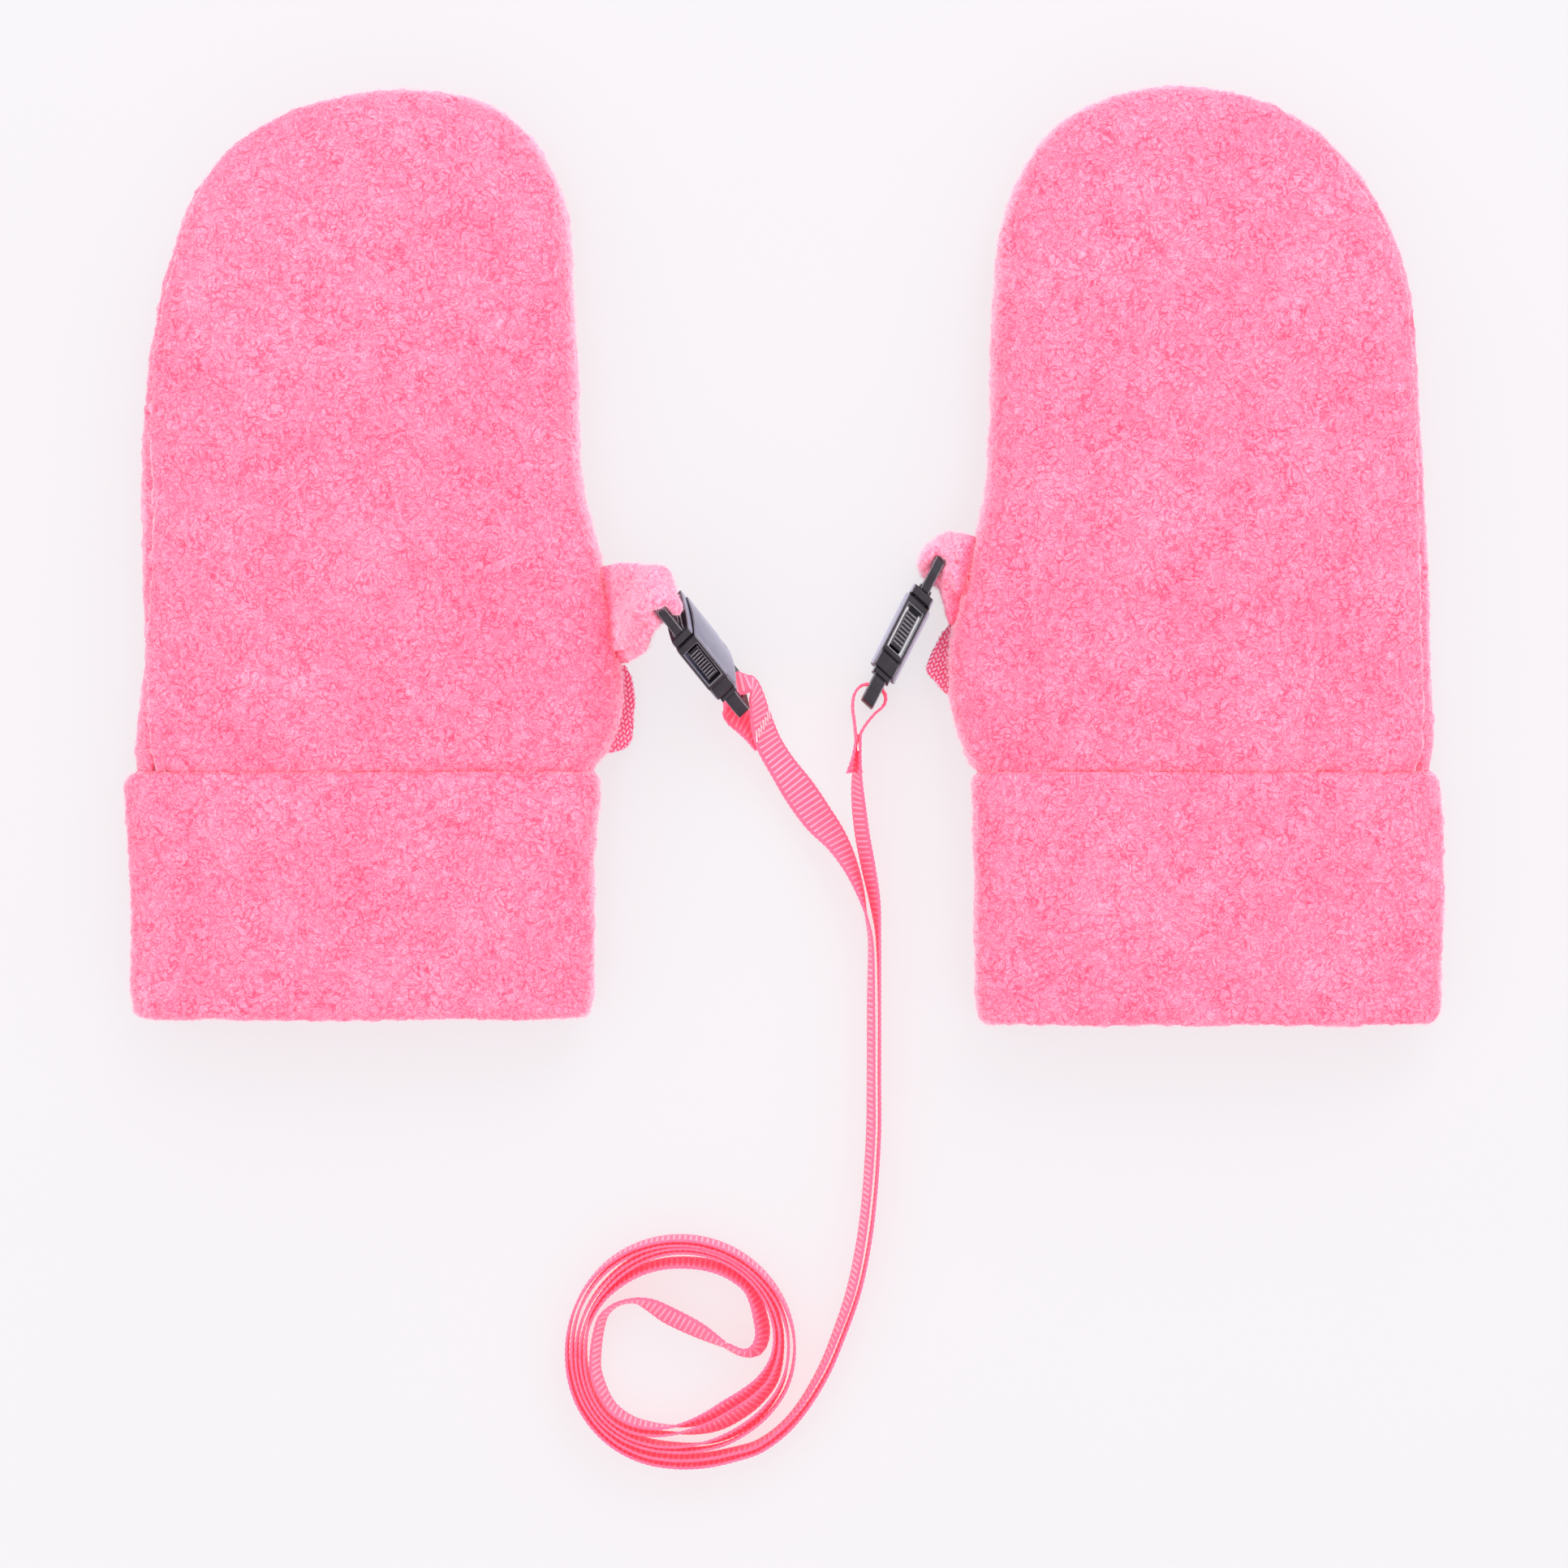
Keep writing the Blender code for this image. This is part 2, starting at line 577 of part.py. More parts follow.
CUFF_TURNS = (90.0, 68.0, 53.0, 40.0, 28.0, 17.0, 8.0, 0.0, -22.0, -45.0, -68.0, -90.0, -135.0, -180.0)
MOUTH_STEPS = 4


def cuff_path(length):
    """The cuff's wall, cut along its length: places as distance from the wrist seam and depth in."""
    start = JOIN_GAP / 2.0
    fold = CUFF_WALL / 2.0
    path = [(start, CREASE_DEPTH)]
    path += [(start + reach, crease_inset(reach)) for reach in (0.5, 1.3, CREASE_REACH)]
    path += [(length * share, 0.0) for share in (0.25, 0.5, 0.75)]
    for step in range(MOUTH_STEPS + 1):
        angle = math.pi * step / MOUTH_STEPS
        path.append((length - fold + fold * math.sin(angle), fold - fold * math.cos(angle)))
    path += [(length * share, CUFF_WALL) for share in (0.6, 0.3)]
    path.append((start, CUFF_WALL))
    return path


def cuff(mitten, finish, place_in):
    """A flattened tube of doubled fleece, folded at its mouth."""
    rows = mitten.cuff
    rings = []
    for down, depth in cuff_path(rows[-1].down):
        outer = through(rows, "down", "outer", down)
        inner = through(rows, "down", "inner", down)
        thick = through(rows, "down", "thick", down)
        middle, reach = (inner - outer) / 2.0, (inner + outer) / 2.0
        half = [section_point(turn, reach, thick, depth) for turn in CUFF_TURNS]
        round_points = [(middle + distance, height) for distance, height in half]
        round_points += [(middle - distance, height) for distance, height in half[-2:0:-1]]
        round_points.append(round_points[0])
        ring = []
        for x, height in round_points:
            ring.append((mitten.x + mitten.toward_string * x, mitten.y - down, height))
        rings.append(ring)
    work = bmesh.new()
    skin(work, rings, closed_round=True)
    name = f"{mitten.name}_cuff"
    return finish_object(name, mesh_from(name, work), finish, place_in)


# ---- loops and tapes in the inner seam ----------------------------------------------------------

# The strip's section as shares of half its width and half its thickness: an oblong, corners cut.
STRIP_SECTION = (
    (0.86, 1.0), (0.45, 1.0), (-0.45, 1.0), (-0.86, 1.0), (-1.0, 0.4),
    (-1.0, -0.4), (-0.86, -1.0), (-0.45, -1.0), (0.45, -1.0), (0.86, -1.0), (1.0, -0.4), (1.0, 0.4),
)
StripRow = namedtuple("StripRow", "x y z width thick edge_x edge_y edge_z")
ENDS_FITTED = (1.0, 0.75, 0.5, 0.25)   # how far each section from an end follows the hand's side


def smoothed(rows, longest):
    """The rows, and rows between those that are further apart than longest, on smooth curves."""
    runs = [0.0]
    for before, after in zip(rows, rows[1:]):
        runs.append(runs[-1] + math.dist(before[:3], after[:3]))
    kind = type(rows[0])
    Station = namedtuple("Station", ("run",) + kind._fields)
    stations = [Station(run, *row) for run, row in zip(runs, rows)]
    made = [rows[0]]
    for start, end in zip(runs, runs[1:]):
        pieces = max(1, math.ceil((end - start) / longest))
        for piece in range(1, pieces + 1):
            run = start + (end - start) * piece / pieces
            made.append(kind(*(through(stations, "run", field, run) for field in kind._fields)))
    return made


def directions(rows):
    """The way the route runs at each of its rows."""
    points = [Vector(row[:3]) for row in rows]
    last = len(points) - 1
    return [(points[min(i + 1, last)] - points[max(i - 1, 0)]).normalized() for i in range(last + 1)]


def bar_points(clip, rows):
    """Where a strip's middle passes round a bar of the clip, in the pair's frame."""
    matrix = clip_matrix(clip)
    return [matrix @ (Vector((row.along, 0.0, clip.outer_face * row.off)) * MM) / MM for row in rows]


def side_of_hand(mitten, y):
    return mitten.x + mitten.toward_string * through(mitten.hand, "up", "inner", y - mitten.y)


def strip_row(row):
    lean = math.radians(row.lean)
    return StripRow(*row[:5], 0.0, -math.sin(lean), math.cos(lean))


def fleece_loop(mitten, out, back, clip, finish, place_in):
    """A strip of fleece from the inner seam round the clip's bar and back to the seam."""
    width_way = clip_matrix(clip).col[1].xyz
    in_slot = []
    for row, point in zip(LOOP_THROUGH_SLOT, bar_points(clip, LOOP_THROUGH_SLOT)):
        in_slot.append(StripRow(*point, row.width, row.thick, *width_way))
    rows = [strip_row(row) for row in out] + in_slot + [strip_row(row) for row in back]
    for end in (0, -1):
        beside = side_of_hand(mitten, rows[end].y) + mitten.toward_string * LOOP_GAP
        rows[end] = rows[end]._replace(x=beside)
    rows = smoothed(rows, 2.6)
    rings = []
    for index, (row, way) in enumerate(zip(rows, directions(rows))):
        edge = Vector(row[5:8]).normalized()
        face = way.cross(edge).normalized()
        from_end = min(index, len(rows) - 1 - index)
        fitted = ENDS_FITTED[from_end] if from_end < len(ENDS_FITTED) else 0.0
        ring = []
        for across, through_wall in STRIP_SECTION + STRIP_SECTION[:1]:
            point = Vector(row[:3]) + edge * (across * row.width / 2.0)
            point += face * (through_wall * row.thick / 2.0)
            beside = row.x + side_of_hand(mitten, point.y) - side_of_hand(mitten, row.y)
            point.x += fitted * (beside - point.x)
            ring.append(point)
        rings.append(ring)
    work = bmesh.new()
    skin(work, rings)
    bmesh.ops.remove_doubles(work, verts=work.verts, dist=1e-6)
    bmesh.ops.holes_fill(work, edges=[edge for edge in work.edges if edge.is_boundary])
    name = f"{mitten.name}_fleece_loop"
    return finish_object(name, mesh_from(name, work), finish, place_in)


TAB_LEVELS = 6


def seam_tape(mitten, finish, place_in):
    """The folded end of a knitted tape, a flat plate that comes out of the inner seam."""
    rows = mitten.tab
    outline = []
    for row in rows:
        outline.append((through(mitten.hand, "up", "inner", row.up) + row.beyond, row.up))
    for step in range(TAB_LEVELS):
        up = rows[-1].up + (rows[0].up - rows[-1].up) * step / (TAB_LEVELS - 1)
        outline.append((through(mitten.hand, "up", "inner", up) - TAB_TUCK, up))
    work = bmesh.new()
    base = TAB_MIDDLE - TAB_THICK / 2.0
    corners = []
    for x, up in outline:
        corner = Vector((mitten.x + mitten.toward_string * x, mitten.y + up, base))
        corners.append(work.verts.new(corner * MM))
    face = work.faces.new(corners)
    grown = bmesh.ops.extrude_face_region(work, geom=[face])
    lifted = [item for item in grown["geom"] if isinstance(item, bmesh.types.BMVert)]
    bmesh.ops.translate(work, verts=lifted, vec=(0.0, 0.0, TAB_THICK * MM))
    name = f"{mitten.name}_seam_tape"
    return finish_object(name, mesh_from(name, work), finish, place_in)


# ---- clips --------------------------------------------------------------------------------------


def clip_matrix(clip):
    """From the clip's own axes to the pair's: X along its length, Y its width, Z its thickness."""
    heading, pitch, roll = (math.radians(value) for value in clip[4:7])
    turned = (
        Matrix.Rotation(heading, 4, "Z") @ Matrix.Rotation(pitch, 4, "Y") @ Matrix.Rotation(roll, 4, "X")
    )
    on_edge = Matrix.Rotation(math.pi / 2.0, 4, "X")
    far_end = Vector(clip[1:4]) * MM
    start = Matrix.Translation((-CLIP_LENGTH * MM, 0.0, 0.0))
    return Matrix.Translation(far_end) @ turned @ on_edge @ start


def block_mesh(block, side):
    """A block with its four upright edges rounded."""
    work = bmesh.new()
    length = block.end - block.start
    middle = Vector(((block.start + block.end) / 2.0, side * block.across, 0.0)) * MM
    size = Matrix.Diagonal((length * MM, block.width * MM, block.thick * MM, 1.0))
    bmesh.ops.create_cube(work, size=1.0, matrix=Matrix.Translation(middle) @ size)
    if block.corner > 0.0:
        upright = []
        for edge in work.edges:
            run = edge.verts[0].co - edge.verts[1].co
            if abs(run.z) > abs(run.x) + abs(run.y):
                upright.append(edge)
        bmesh.ops.bevel(
            work, geom=upright, offset=block.corner * MM, segments=2, profile=0.5, affect="EDGES"
        )
    mesh = bpy.data.meshes.new("block")
    work.to_mesh(mesh)
    work.free()
    return mesh


def block_objects(name, blocks, matrix, place_in):
    made = []
    for block in blocks:
        for side in (-1.0, 1.0) if block.mirrored else (1.0,):
            item = bpy.data.objects.new(name, block_mesh(block, side))
            item.matrix_world = matrix
            place_in.objects.link(item)
            made.append(item)
    return made


def clip_half(name, blocks, cuts, matrix, finish, place_in, guides):
    """One half of a clip: its blocks joined, its openings cut, and its edges eased."""
    body = block_objects(name, blocks[:1], matrix, place_in)[0]
    body.name = name
    body.data.materials.append(own_material(name, finish))
    for operation, extra in (("UNION", blocks[1:]), ("DIFFERENCE", cuts)):
        for guide in block_objects(f"{name}_guide", extra, matrix, guides):
            guide.hide_render = True
            guide.display_type = "WIRE"
            modifier = body.modifiers.new(operation.title(), "BOOLEAN")
            modifier.operation = operation
            modifier.object = guide
    easing = body.modifiers.new("Edges", "BEVEL")
    easing.width = EDGE_ROUNDING * MM
    easing.segments = 1
    easing.limit_method = "ANGLE"
    easing.angle_limit = math.radians(50.0)
    return body


# ---- ribbon string ------------------------------------------------------------------------------


def lean_of(way, edge):
    """How far an upper edge leans to the right of a way, in degrees."""
    up = (Vector((0.0, 0.0, 1.0)) - way * way.z).normalized()
    right = way.cross(up)
    return math.degrees(math.atan2(edge.dot(right), edge.dot(up)))


def clipped_route(clip, tail, turn, run):
    """A ribbon's whole route: its sewn-down tail, the turn round the clip's bar, and its run."""
    width_way = clip_matrix(clip).col[1].xyz
    turn = [RibbonRow(*point, 0.0) for point in bar_points(clip, turn)]
    rows = list(tail) + turn + list(run)
    for index in range(len(tail), len(tail) + len(turn)):
        rows[index] = rows[index]._replace(lean=lean_of(directions(rows)[index], width_way))
    return rows


def ribbon(name, route, finish, place_in):
    """A flat band along a smooth curve: its width is the curve's extrusion, its edges are rounded."""
    curve = bpy.data.curves.new(name, "CURVE")
    curve.dimensions = "3D"
    curve.twist_mode = "Z_UP"
    curve.extrude = (RIBBON_WIDTH - RIBBON_THICK) / 2.0 * MM
    curve.bevel_depth = RIBBON_THICK / 2.0 * MM
    curve.bevel_resolution = 1
    curve.use_fill_caps = True
    spline = curve.splines.new("POLY")
    rows = smoothed(route, 8.0)
    spline.points.add(len(rows) - 1)
    for point, row in zip(spline.points, rows):
        point.co = (row.x * MM, row.y * MM, row.z * MM, 1.0)
        point.tilt = math.radians(row.lean)
    band = bpy.data.objects.new(name, curve)
    band.data.materials.append(own_material(name, finish))
    place_in.objects.link(band)
    return band


def coil(finish, place_in):
    """The outer shape of the wound ribbon, a turned ring."""
    low, high = RIBBON_FLOOR, RIBBON_FLOOR + RIBBON_WIDTH
    ease = 0.4
    profile = (
        (COIL_OUTER, high - ease),
        (COIL_OUTER, low + ease),
        (COIL_OUTER - ease, low),
        (COIL_INNER + ease, low),
        (COIL_INNER, low + ease),
        (COIL_INNER, high - ease),
        (COIL_INNER + ease, high),
        (COIL_OUTER - ease, high),
    )
    mesh = bpy.data.meshes.new("string_coil")
    points = [(radius * MM, 0.0, height * MM) for radius, height in profile]
    edges = [(i, (i + 1) % len(profile)) for i in range(len(profile))]
    mesh.from_pydata(points, edges, [])
    ring = finish_object("string_coil", mesh, finish, place_in)
    ring.location = (COIL_CENTRE[0] * MM, COIL_CENTRE[1] * MM, 0.0)
    turning = ring.modifiers.new("Turn", "SCREW")
    turning.steps = COIL_STEPS
    turning.render_steps = COIL_STEPS
    turning.use_merge_vertices = True
    turning.merge_threshold = 0.00001
    turning.use_smooth_shade = True
    return ring


def build():
    clear_scene()
    parts = collection("baby mittens")
    guides = collection("guides")
    for mitten in (LEFT, RIGHT):
        panel(mitten, f"{mitten.name}_hand_front", front_turns, FLEECE_FINISH, parts)
        panel(mitten, f"{mitten.name}_hand_back", back_turns, FLEECE_FINISH, parts)
        cuff(mitten, FLEECE_FINISH, parts)
        seam_tape(mitten, TAPE_FINISH, parts)
    fleece_loop(LEFT, LEFT_LOOP_OUT, LEFT_LOOP_BACK, LEFT_CLIP, FLEECE_FINISH, parts)
    fleece_loop(RIGHT, RIGHT_LOOP_OUT, RIGHT_LOOP_BACK, RIGHT_CLIP, FLEECE_FINISH, parts)
    for clip in (LEFT_CLIP, RIGHT_CLIP):
        matrix = clip_matrix(clip)
        for half, blocks, cuts in (("plug", PLUG_BLOCKS, PLUG_CUTS), ("socket", SOCKET_BLOCKS, SOCKET_CUTS)):
            clip_half(f"{clip.name}_clip_{half}", blocks, cuts, matrix, CLIP_FINISH, parts, guides)
    ribbon("string_left", clipped_route(LEFT_CLIP, LEFT_TAIL, LEFT_TURN, LEFT_RUN), RIBBON_FINISH, parts)
    ribbon("string_right", clipped_route(RIGHT_CLIP, RIGHT_TAIL, RIGHT_TURN, RIGHT_RUN), RIBBON_FINISH, parts)
    ribbon("string_middle", MIDDLE_RUN, RIBBON_FINISH, parts)
    coil(RIBBON_FINISH, parts)


build()
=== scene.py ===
"""Looks for a pair of baby mittens that lie flat on a ribbon string.

Every piece is laid over the part's own solids, in metres, with X to the right across the pair, Y up the
hands and Z up from the table. Tables are in millimetres and degrees and become metres as a mesh is made.
"""

import math
from collections import namedtuple

import bmesh
import bpy
import numpy as np
from bpy.props import FloatProperty, FloatVectorProperty, PointerProperty
from mathutils import Matrix, Vector, noise
from mathutils.bvhtree import BVHTree


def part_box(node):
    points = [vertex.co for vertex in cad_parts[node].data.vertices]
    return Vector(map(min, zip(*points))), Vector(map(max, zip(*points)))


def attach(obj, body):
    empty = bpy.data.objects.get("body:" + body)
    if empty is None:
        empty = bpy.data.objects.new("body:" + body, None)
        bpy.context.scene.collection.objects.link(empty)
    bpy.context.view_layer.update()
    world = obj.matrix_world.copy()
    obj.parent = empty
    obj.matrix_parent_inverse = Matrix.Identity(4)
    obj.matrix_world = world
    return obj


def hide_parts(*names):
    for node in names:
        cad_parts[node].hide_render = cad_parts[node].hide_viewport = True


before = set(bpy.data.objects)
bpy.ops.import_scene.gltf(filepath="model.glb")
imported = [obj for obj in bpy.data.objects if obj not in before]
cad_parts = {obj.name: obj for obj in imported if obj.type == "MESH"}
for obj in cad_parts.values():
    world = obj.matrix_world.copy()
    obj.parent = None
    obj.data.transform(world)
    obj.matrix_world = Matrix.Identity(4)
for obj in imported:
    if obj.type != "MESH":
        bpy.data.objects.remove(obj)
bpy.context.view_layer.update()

bl_info = {
    "name": "Baby mittens",
    "version": (1, 0, 0),
    "blender": (4, 5, 0),
    "location": "3D View > Sidebar > Mittens",
    "description": "Dresses a pair of fleece baby mittens on a ribbon string",
    "category": "Object",
}

MM = 0.001

# ---- what a user may change ---------------------------------------------------------------------


def colour(name, text, value):
    return FloatVectorProperty(
        name=name, description=text, subtype="COLOR", size=3, min=0.0, max=1.0, default=value
    )


def length(name, text, value):
    return FloatProperty(name=name, description=text, unit="LENGTH", min=0.0, precision=5, default=value)


class FleeceSettings(bpy.types.PropertyGroup):
    # The nap's tips are painted lighter and its hollows deeper: painted light and painted shade.
    tip_light: colour("Nap tips", "Colour of the fleece where the nap stands up", (1.0, 0.50, 0.645))
    middle: colour("Nap", "Colour of the fleece between its tips and its hollows", (0.97, 0.20, 0.335))
    hollow_shade: colour("Hollows", "Colour of the fleece deep in its nap", (0.95, 0.055, 0.14))
    # The loose fibres are painted paler than the cloth: painted light going through them.
    fibre: colour("Fibres", "Colour of the loose fibres at the rims", (1.0, 0.72, 0.86))
    nap: length("Nap height", "How far the nap stands above the cloth", 0.00045)
    tuft: length("Tuft size", "Distance between one tuft and the next", 0.0016)


class RibbonSettings(bpy.types.PropertyGroup):
    face: colour("Ribbon", "Colour of the ribbon's ribs", (1.0, 0.50, 0.64))
    # The grooves' colour is painted shade, between the ribs and along the beaded edges.
    groove: colour("Grooves", "Colour between the ribbon's ribs and along its edges", (0.96, 0.14, 0.24))
    thread: colour("Thread", "Colour of the sewing thread", (1.0, 0.85, 0.92))
    width: length("Width", "Width of the ribbon", 0.006)
    thickness: length("Thickness", "Thickness of the ribbon over a rib", 0.0005)
    rib: length("Rib spacing", "Distance between one rib and the next", 0.0009)


class TapeSettings(bpy.types.PropertyGroup):
    # The stitches' tops are painted with a highlight, fading to the gaps' deeper colour.
    yarn_highlight: colour("Yarn", "Colour of the knitted tape's yarn", (1.0, 0.50, 0.70))
    gap: colour("Gaps", "Colour between the yarns", (0.84, 0.035, 0.13))
    knit: length("Knit spacing", "Distance between one stitch and the next", 0.00085)


class ClipSettings(bpy.types.PropertyGroup):
    plastic: colour("Plastic", "Colour of the clips", (0.022, 0.017, 0.025))
    # The clips' edges are painted lighter: a painted highlight.
    worn: colour("Worn edges", "Colour of the clips along their edges", (0.30, 0.27, 0.31))
    # The domed faces are painted a lighter lilac grey than the plastic: a painted reflection.
    dome_reflection: colour("Polished faces", "Colour of the clips' domed faces", (0.19, 0.19, 0.27))
    grain: length("Grain", "Size of the moulded grain", 0.00025)


class StageSettings(bpy.types.PropertyGroup):
    floor: colour("Floor", "Colour of the table", (0.165, 0.160, 0.165))
    height: length("Camera height", "Height of the camera above the table", 0.6)


# ---- nodes and objects --------------------------------------------------------------------------


class Finish:
    """A material and its node tree, with nodes added and joined in one call."""

    def __init__(self, name, **sockets):
        self.material = bpy.data.materials.new(name)
        self.material.use_nodes = True
        self.tree = self.material.node_tree
        self.shader = self.tree.nodes["Principled BSDF"]
        self.join(self.shader, sockets)

    def join(self, node, sockets):
        for key, value in sockets.items():
            socket = node.inputs[key if isinstance(key, int) else key.replace("_", " ")]
            if isinstance(value, bpy.types.NodeSocket):
                self.tree.links.new(value, socket)
            else:
                socket.default_value = value

    def add(self, kind, sockets=None, **settings):
        made = self.tree.nodes.new("ShaderNode" + kind)
        for key, value in settings.items():
            setattr(made, key, value)
        self.join(made, sockets or {})
        return made

    def finished(self, shade, **sockets):
        """The material, with its colour and its other textures on the shader."""
        self.join(self.shader, {"Base_Color": shade, **sockets})
        return self.material

    def place(self):
        return self.add("TexCoord").outputs["Object"]

    def noise(self, place, size, detail=2.0, rough=0.5, distortion=0.0):
        sockets = {"Vector": place, "Scale": 1.0 / size, "Detail": detail}
        sockets |= {"Roughness": rough, "Distortion": distortion}
        return self.add("TexNoise", sockets).outputs["Fac"]

    def attribute(self, name):
        return self.add("Attribute", attribute_name=name).outputs["Fac"]

    def maths(self, operation, a, b=0.0, c=0.0):
        return self.add("Math", {0: a, 1: b, 2: c}, operation=operation).outputs[0]

    def plus(self, base, value, share):
        """The base with a share of the value added to it."""
        return self.maths("MULTIPLY_ADD", value, share, base)

    def ramp(self, value, stops):
        made = self.add("ValToRGB", {"Fac": value})
        elements = made.color_ramp.elements
        while len(elements) < len(stops):
            elements.new(0.5)
        for element, (at, shade) in zip(elements, stops):
            element.position = at
            element.color = (*shade, 1.0)
        return made.outputs["Color"]

    def blend(self, share, first, second):
        return self.add("Mix", {0: share, 6: first, 7: second}, data_type="RGBA").outputs[2]

    def bump(self, height, distance, strength):
        sockets = {"Height": height, "Distance": distance, "Strength": strength}
        return self.add("Bump", sockets).outputs["Normal"]


def placed(name, mesh, material):
    made = bpy.data.objects.new(name, mesh)
    made.data.materials.clear()
    made.data.materials.append(material)
    bpy.context.scene.collection.objects.link(made)
    return made


def workpiece(mesh):
    """An object that lives only until its modifiers are applied."""
    return placed("work", mesh, bpy.data.materials.new("work"))


def mesh_of(name, work):
    mesh = bpy.data.meshes.new(name)
    work.to_mesh(mesh)
    work.free()
    mesh.shade_smooth()
    return mesh


def shaped(piece):
    """The piece's mesh with its modifiers applied. The piece itself is taken away."""
    graph = bpy.context.evaluated_depsgraph_get()
    mesh = bpy.data.meshes.new_from_object(piece.evaluated_get(graph))
    bpy.data.objects.remove(piece)
    return mesh


def welded(node):
    """A copy of a node's solid, its points merged and its triangles paired."""
    work = bmesh.new()
    work.from_mesh(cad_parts[node].data)
    bmesh.ops.remove_doubles(work, verts=work.verts, dist=2e-6)
    bmesh.ops.join_triangles(
        work, faces=work.faces,
        angle_face_threshold=math.radians(40.0), angle_shape_threshold=math.radians(60.0),
    )
    return work


def mark(mesh, name, values):
    """Keeps a value at each of the mesh's points, for its finish to read."""
    mesh.attributes.new(name, "FLOAT", "POINT").data.foreach_set("value", values)


def columns(mesh, field):
    """The places or normals of the mesh's points, as rows of three."""
    values = np.empty(len(mesh.vertices) * 3)
    mesh.vertices.foreach_get(field, values)
    return values.reshape(-1, 3)


def table(kind, *rows):
    """A table's rows, with the columns that their kind names."""
    return tuple(kind(*row) for row in rows)


def through(rows, key, field, at):
    """A smooth curve through a table's column, with each row's slope taken from its neighbours."""
    knots = [getattr(row, key) for row in rows]
    values = [getattr(row, field) for row in rows]
    at = min(max(at, knots[0]), knots[-1])
    index = max(i for i in range(len(knots) - 1) if knots[i] <= at)

    def slope(i):
        before, after = max(i - 1, 0), min(i + 1, len(knots) - 1)
        return (values[after] - values[before]) / (knots[after] - knots[before])

    span = knots[index + 1] - knots[index]
    t = (at - knots[index]) / span
    return (
        (2 * t**3 - 3 * t**2 + 1) * values[index]
        + (t**3 - 2 * t**2 + t) * span * slope(index)
        + (3 * t**2 - 2 * t**3) * values[index + 1]
        + (t**3 - t**2) * span * slope(index + 1)
    )


# ---- clips: where they lie ----------------------------------------------------------------------

CLIP_LENGTH = 26.2
Clip = namedtuple("Clip", "name x y z heading pitch roll outer_face")
LEFT_CLIP = Clip("left", -6.8, -22.6, 4.5, -50.9, 36.0, 16.0, -1.0)
RIGHT_CLIP = Clip("right", 13.25, -23.75, 5.7, 243.0, 0.0, 0.0, 1.0)


def clip_matrix(clip):
    """From the clip's own axes to the pair's: X along its length, Y its width, Z its thickness."""
    heading, pitch, roll = (math.radians(value) for value in clip[4:7])
    turned = Matrix.Rotation(heading, 4, "Z") @ Matrix.Rotation(pitch, 4, "Y") @ Matrix.Rotation(roll, 4, "X")
    on_edge = Matrix.Rotation(math.pi / 2.0, 4, "X")
    start = Matrix.Translation((-CLIP_LENGTH * MM, 0.0, 0.0))
    return Matrix.Translation(Vector(clip[1:4]) * MM) @ turned @ on_edge @ start


# ---- ribbon string ------------------------------------------------------------------------------

# Where the ribbon passes round the socket's bar: along the clip, and off its middle plane.
BarRow = namedtuple("BarRow", "along off")
LEFT_TURN = table(
    BarRow,
    (25.6, -2.9),
    (24.5, -2.5),
    (23.5, -1.4),
    (23.2, 0),
    (23.7, 1.6),
    (24.8, 2.6),
)
RIGHT_TURN = table(
    BarRow,
    (27.4, 1.9),
    (25.4, 2.5),
    (23.7, 2),
    (22.75, 0),
    (23.2, -1.65),
    (24.1, -2.4),
    (25.3, -2.5),
    (26.8, -1.9),
)

# Middle of the ribbon, and how far its top edge leans to the right of the way that it runs.
RibbonRow = namedtuple("RibbonRow", "x y z lean")
LEFT_TAIL = table(
    RibbonRow,
    (-3.4, -29.5, 2.6, -43),
    (-4.8, -28, 3, -41),
    (-6.4, -26.6, 3.4, -39),
    (-8.1, -25.2, 3.9, -37),
)
LEFT_RUN = table(
    RibbonRow,
    (-4.5, -22.6, 4.9, 24),
    (-4, -25, 4.2, 31),
    (-3.4, -27.4, 3.6, 39),
    (-2.4, -30.1, 3, 44),
    (-0.2, -33.8, 2.4, 49),
    (2.7, -38, 1.9, 63),
    (5.5, -42, 2.1, 58),
    (8.5, -45.8, 2.7, 38),
    (10.6, -49.5, 3, 24),
    (12.2, -53.6, 3.1, 12),
    (13.3, -57.9, 3.2, 0),
    (14, -62, 3.2, -4),
    (14.05, -71, 3.2, -8),
    (14.05, -83.3, 3.2, -9),
    (13.95, -94, 3.2, -10),
    (12.9, -106.9, 3.2, -9),
    (11.1, -117.1, 3.2, -9),
    (8.75, -124.3, 3.2, -6),
    (5.5, -131.9, 3.2, -3),
    (1, -138.7, 3.2, 0),
)
RIGHT_TAIL = table(
    RibbonRow,
    (11.35, -34.7, 5.3, -26),
    (11.4, -32.9, 5.4, -14),
    (11.5, -30.8, 5.6, -5),
    (11.5, -28.8, 5.7, 0),
    (11.3, -26.6, 5.7, 0),
)
RIGHT_RUN = table(
    RibbonRow,
    (13.2, -26.9, 5.7, 0),
    (12.35, -28.4, 5.7, 0),
    (12.15, -30.2, 5.5, -2),
    (12, -32.2, 5.1, -6),
    (11.8, -35.2, 4.6, -12),
    (12, -39.4, 3.9, -18),
    (12.6, -44.5, 3.6, -20),
    (13.6, -49.9, 3.4, -19),
    (14.6, -55.2, 3.3, -14),
    (15.2, -61, 3.2, -4),
    (15.4, -71, 3.2, 0),
    (15.4, -83.3, 3.2, 0),
    (15.35, -94, 3.2, 0),
    (14.3, -107.1, 3.2, 0),
    (12.45, -117.3, 3.2, 0),
    (9.9, -124.8, 3.2, 0),
    (6.55, -132.5, 3.2, 0),
    (1.8, -139.4, 3.2, 0),
)

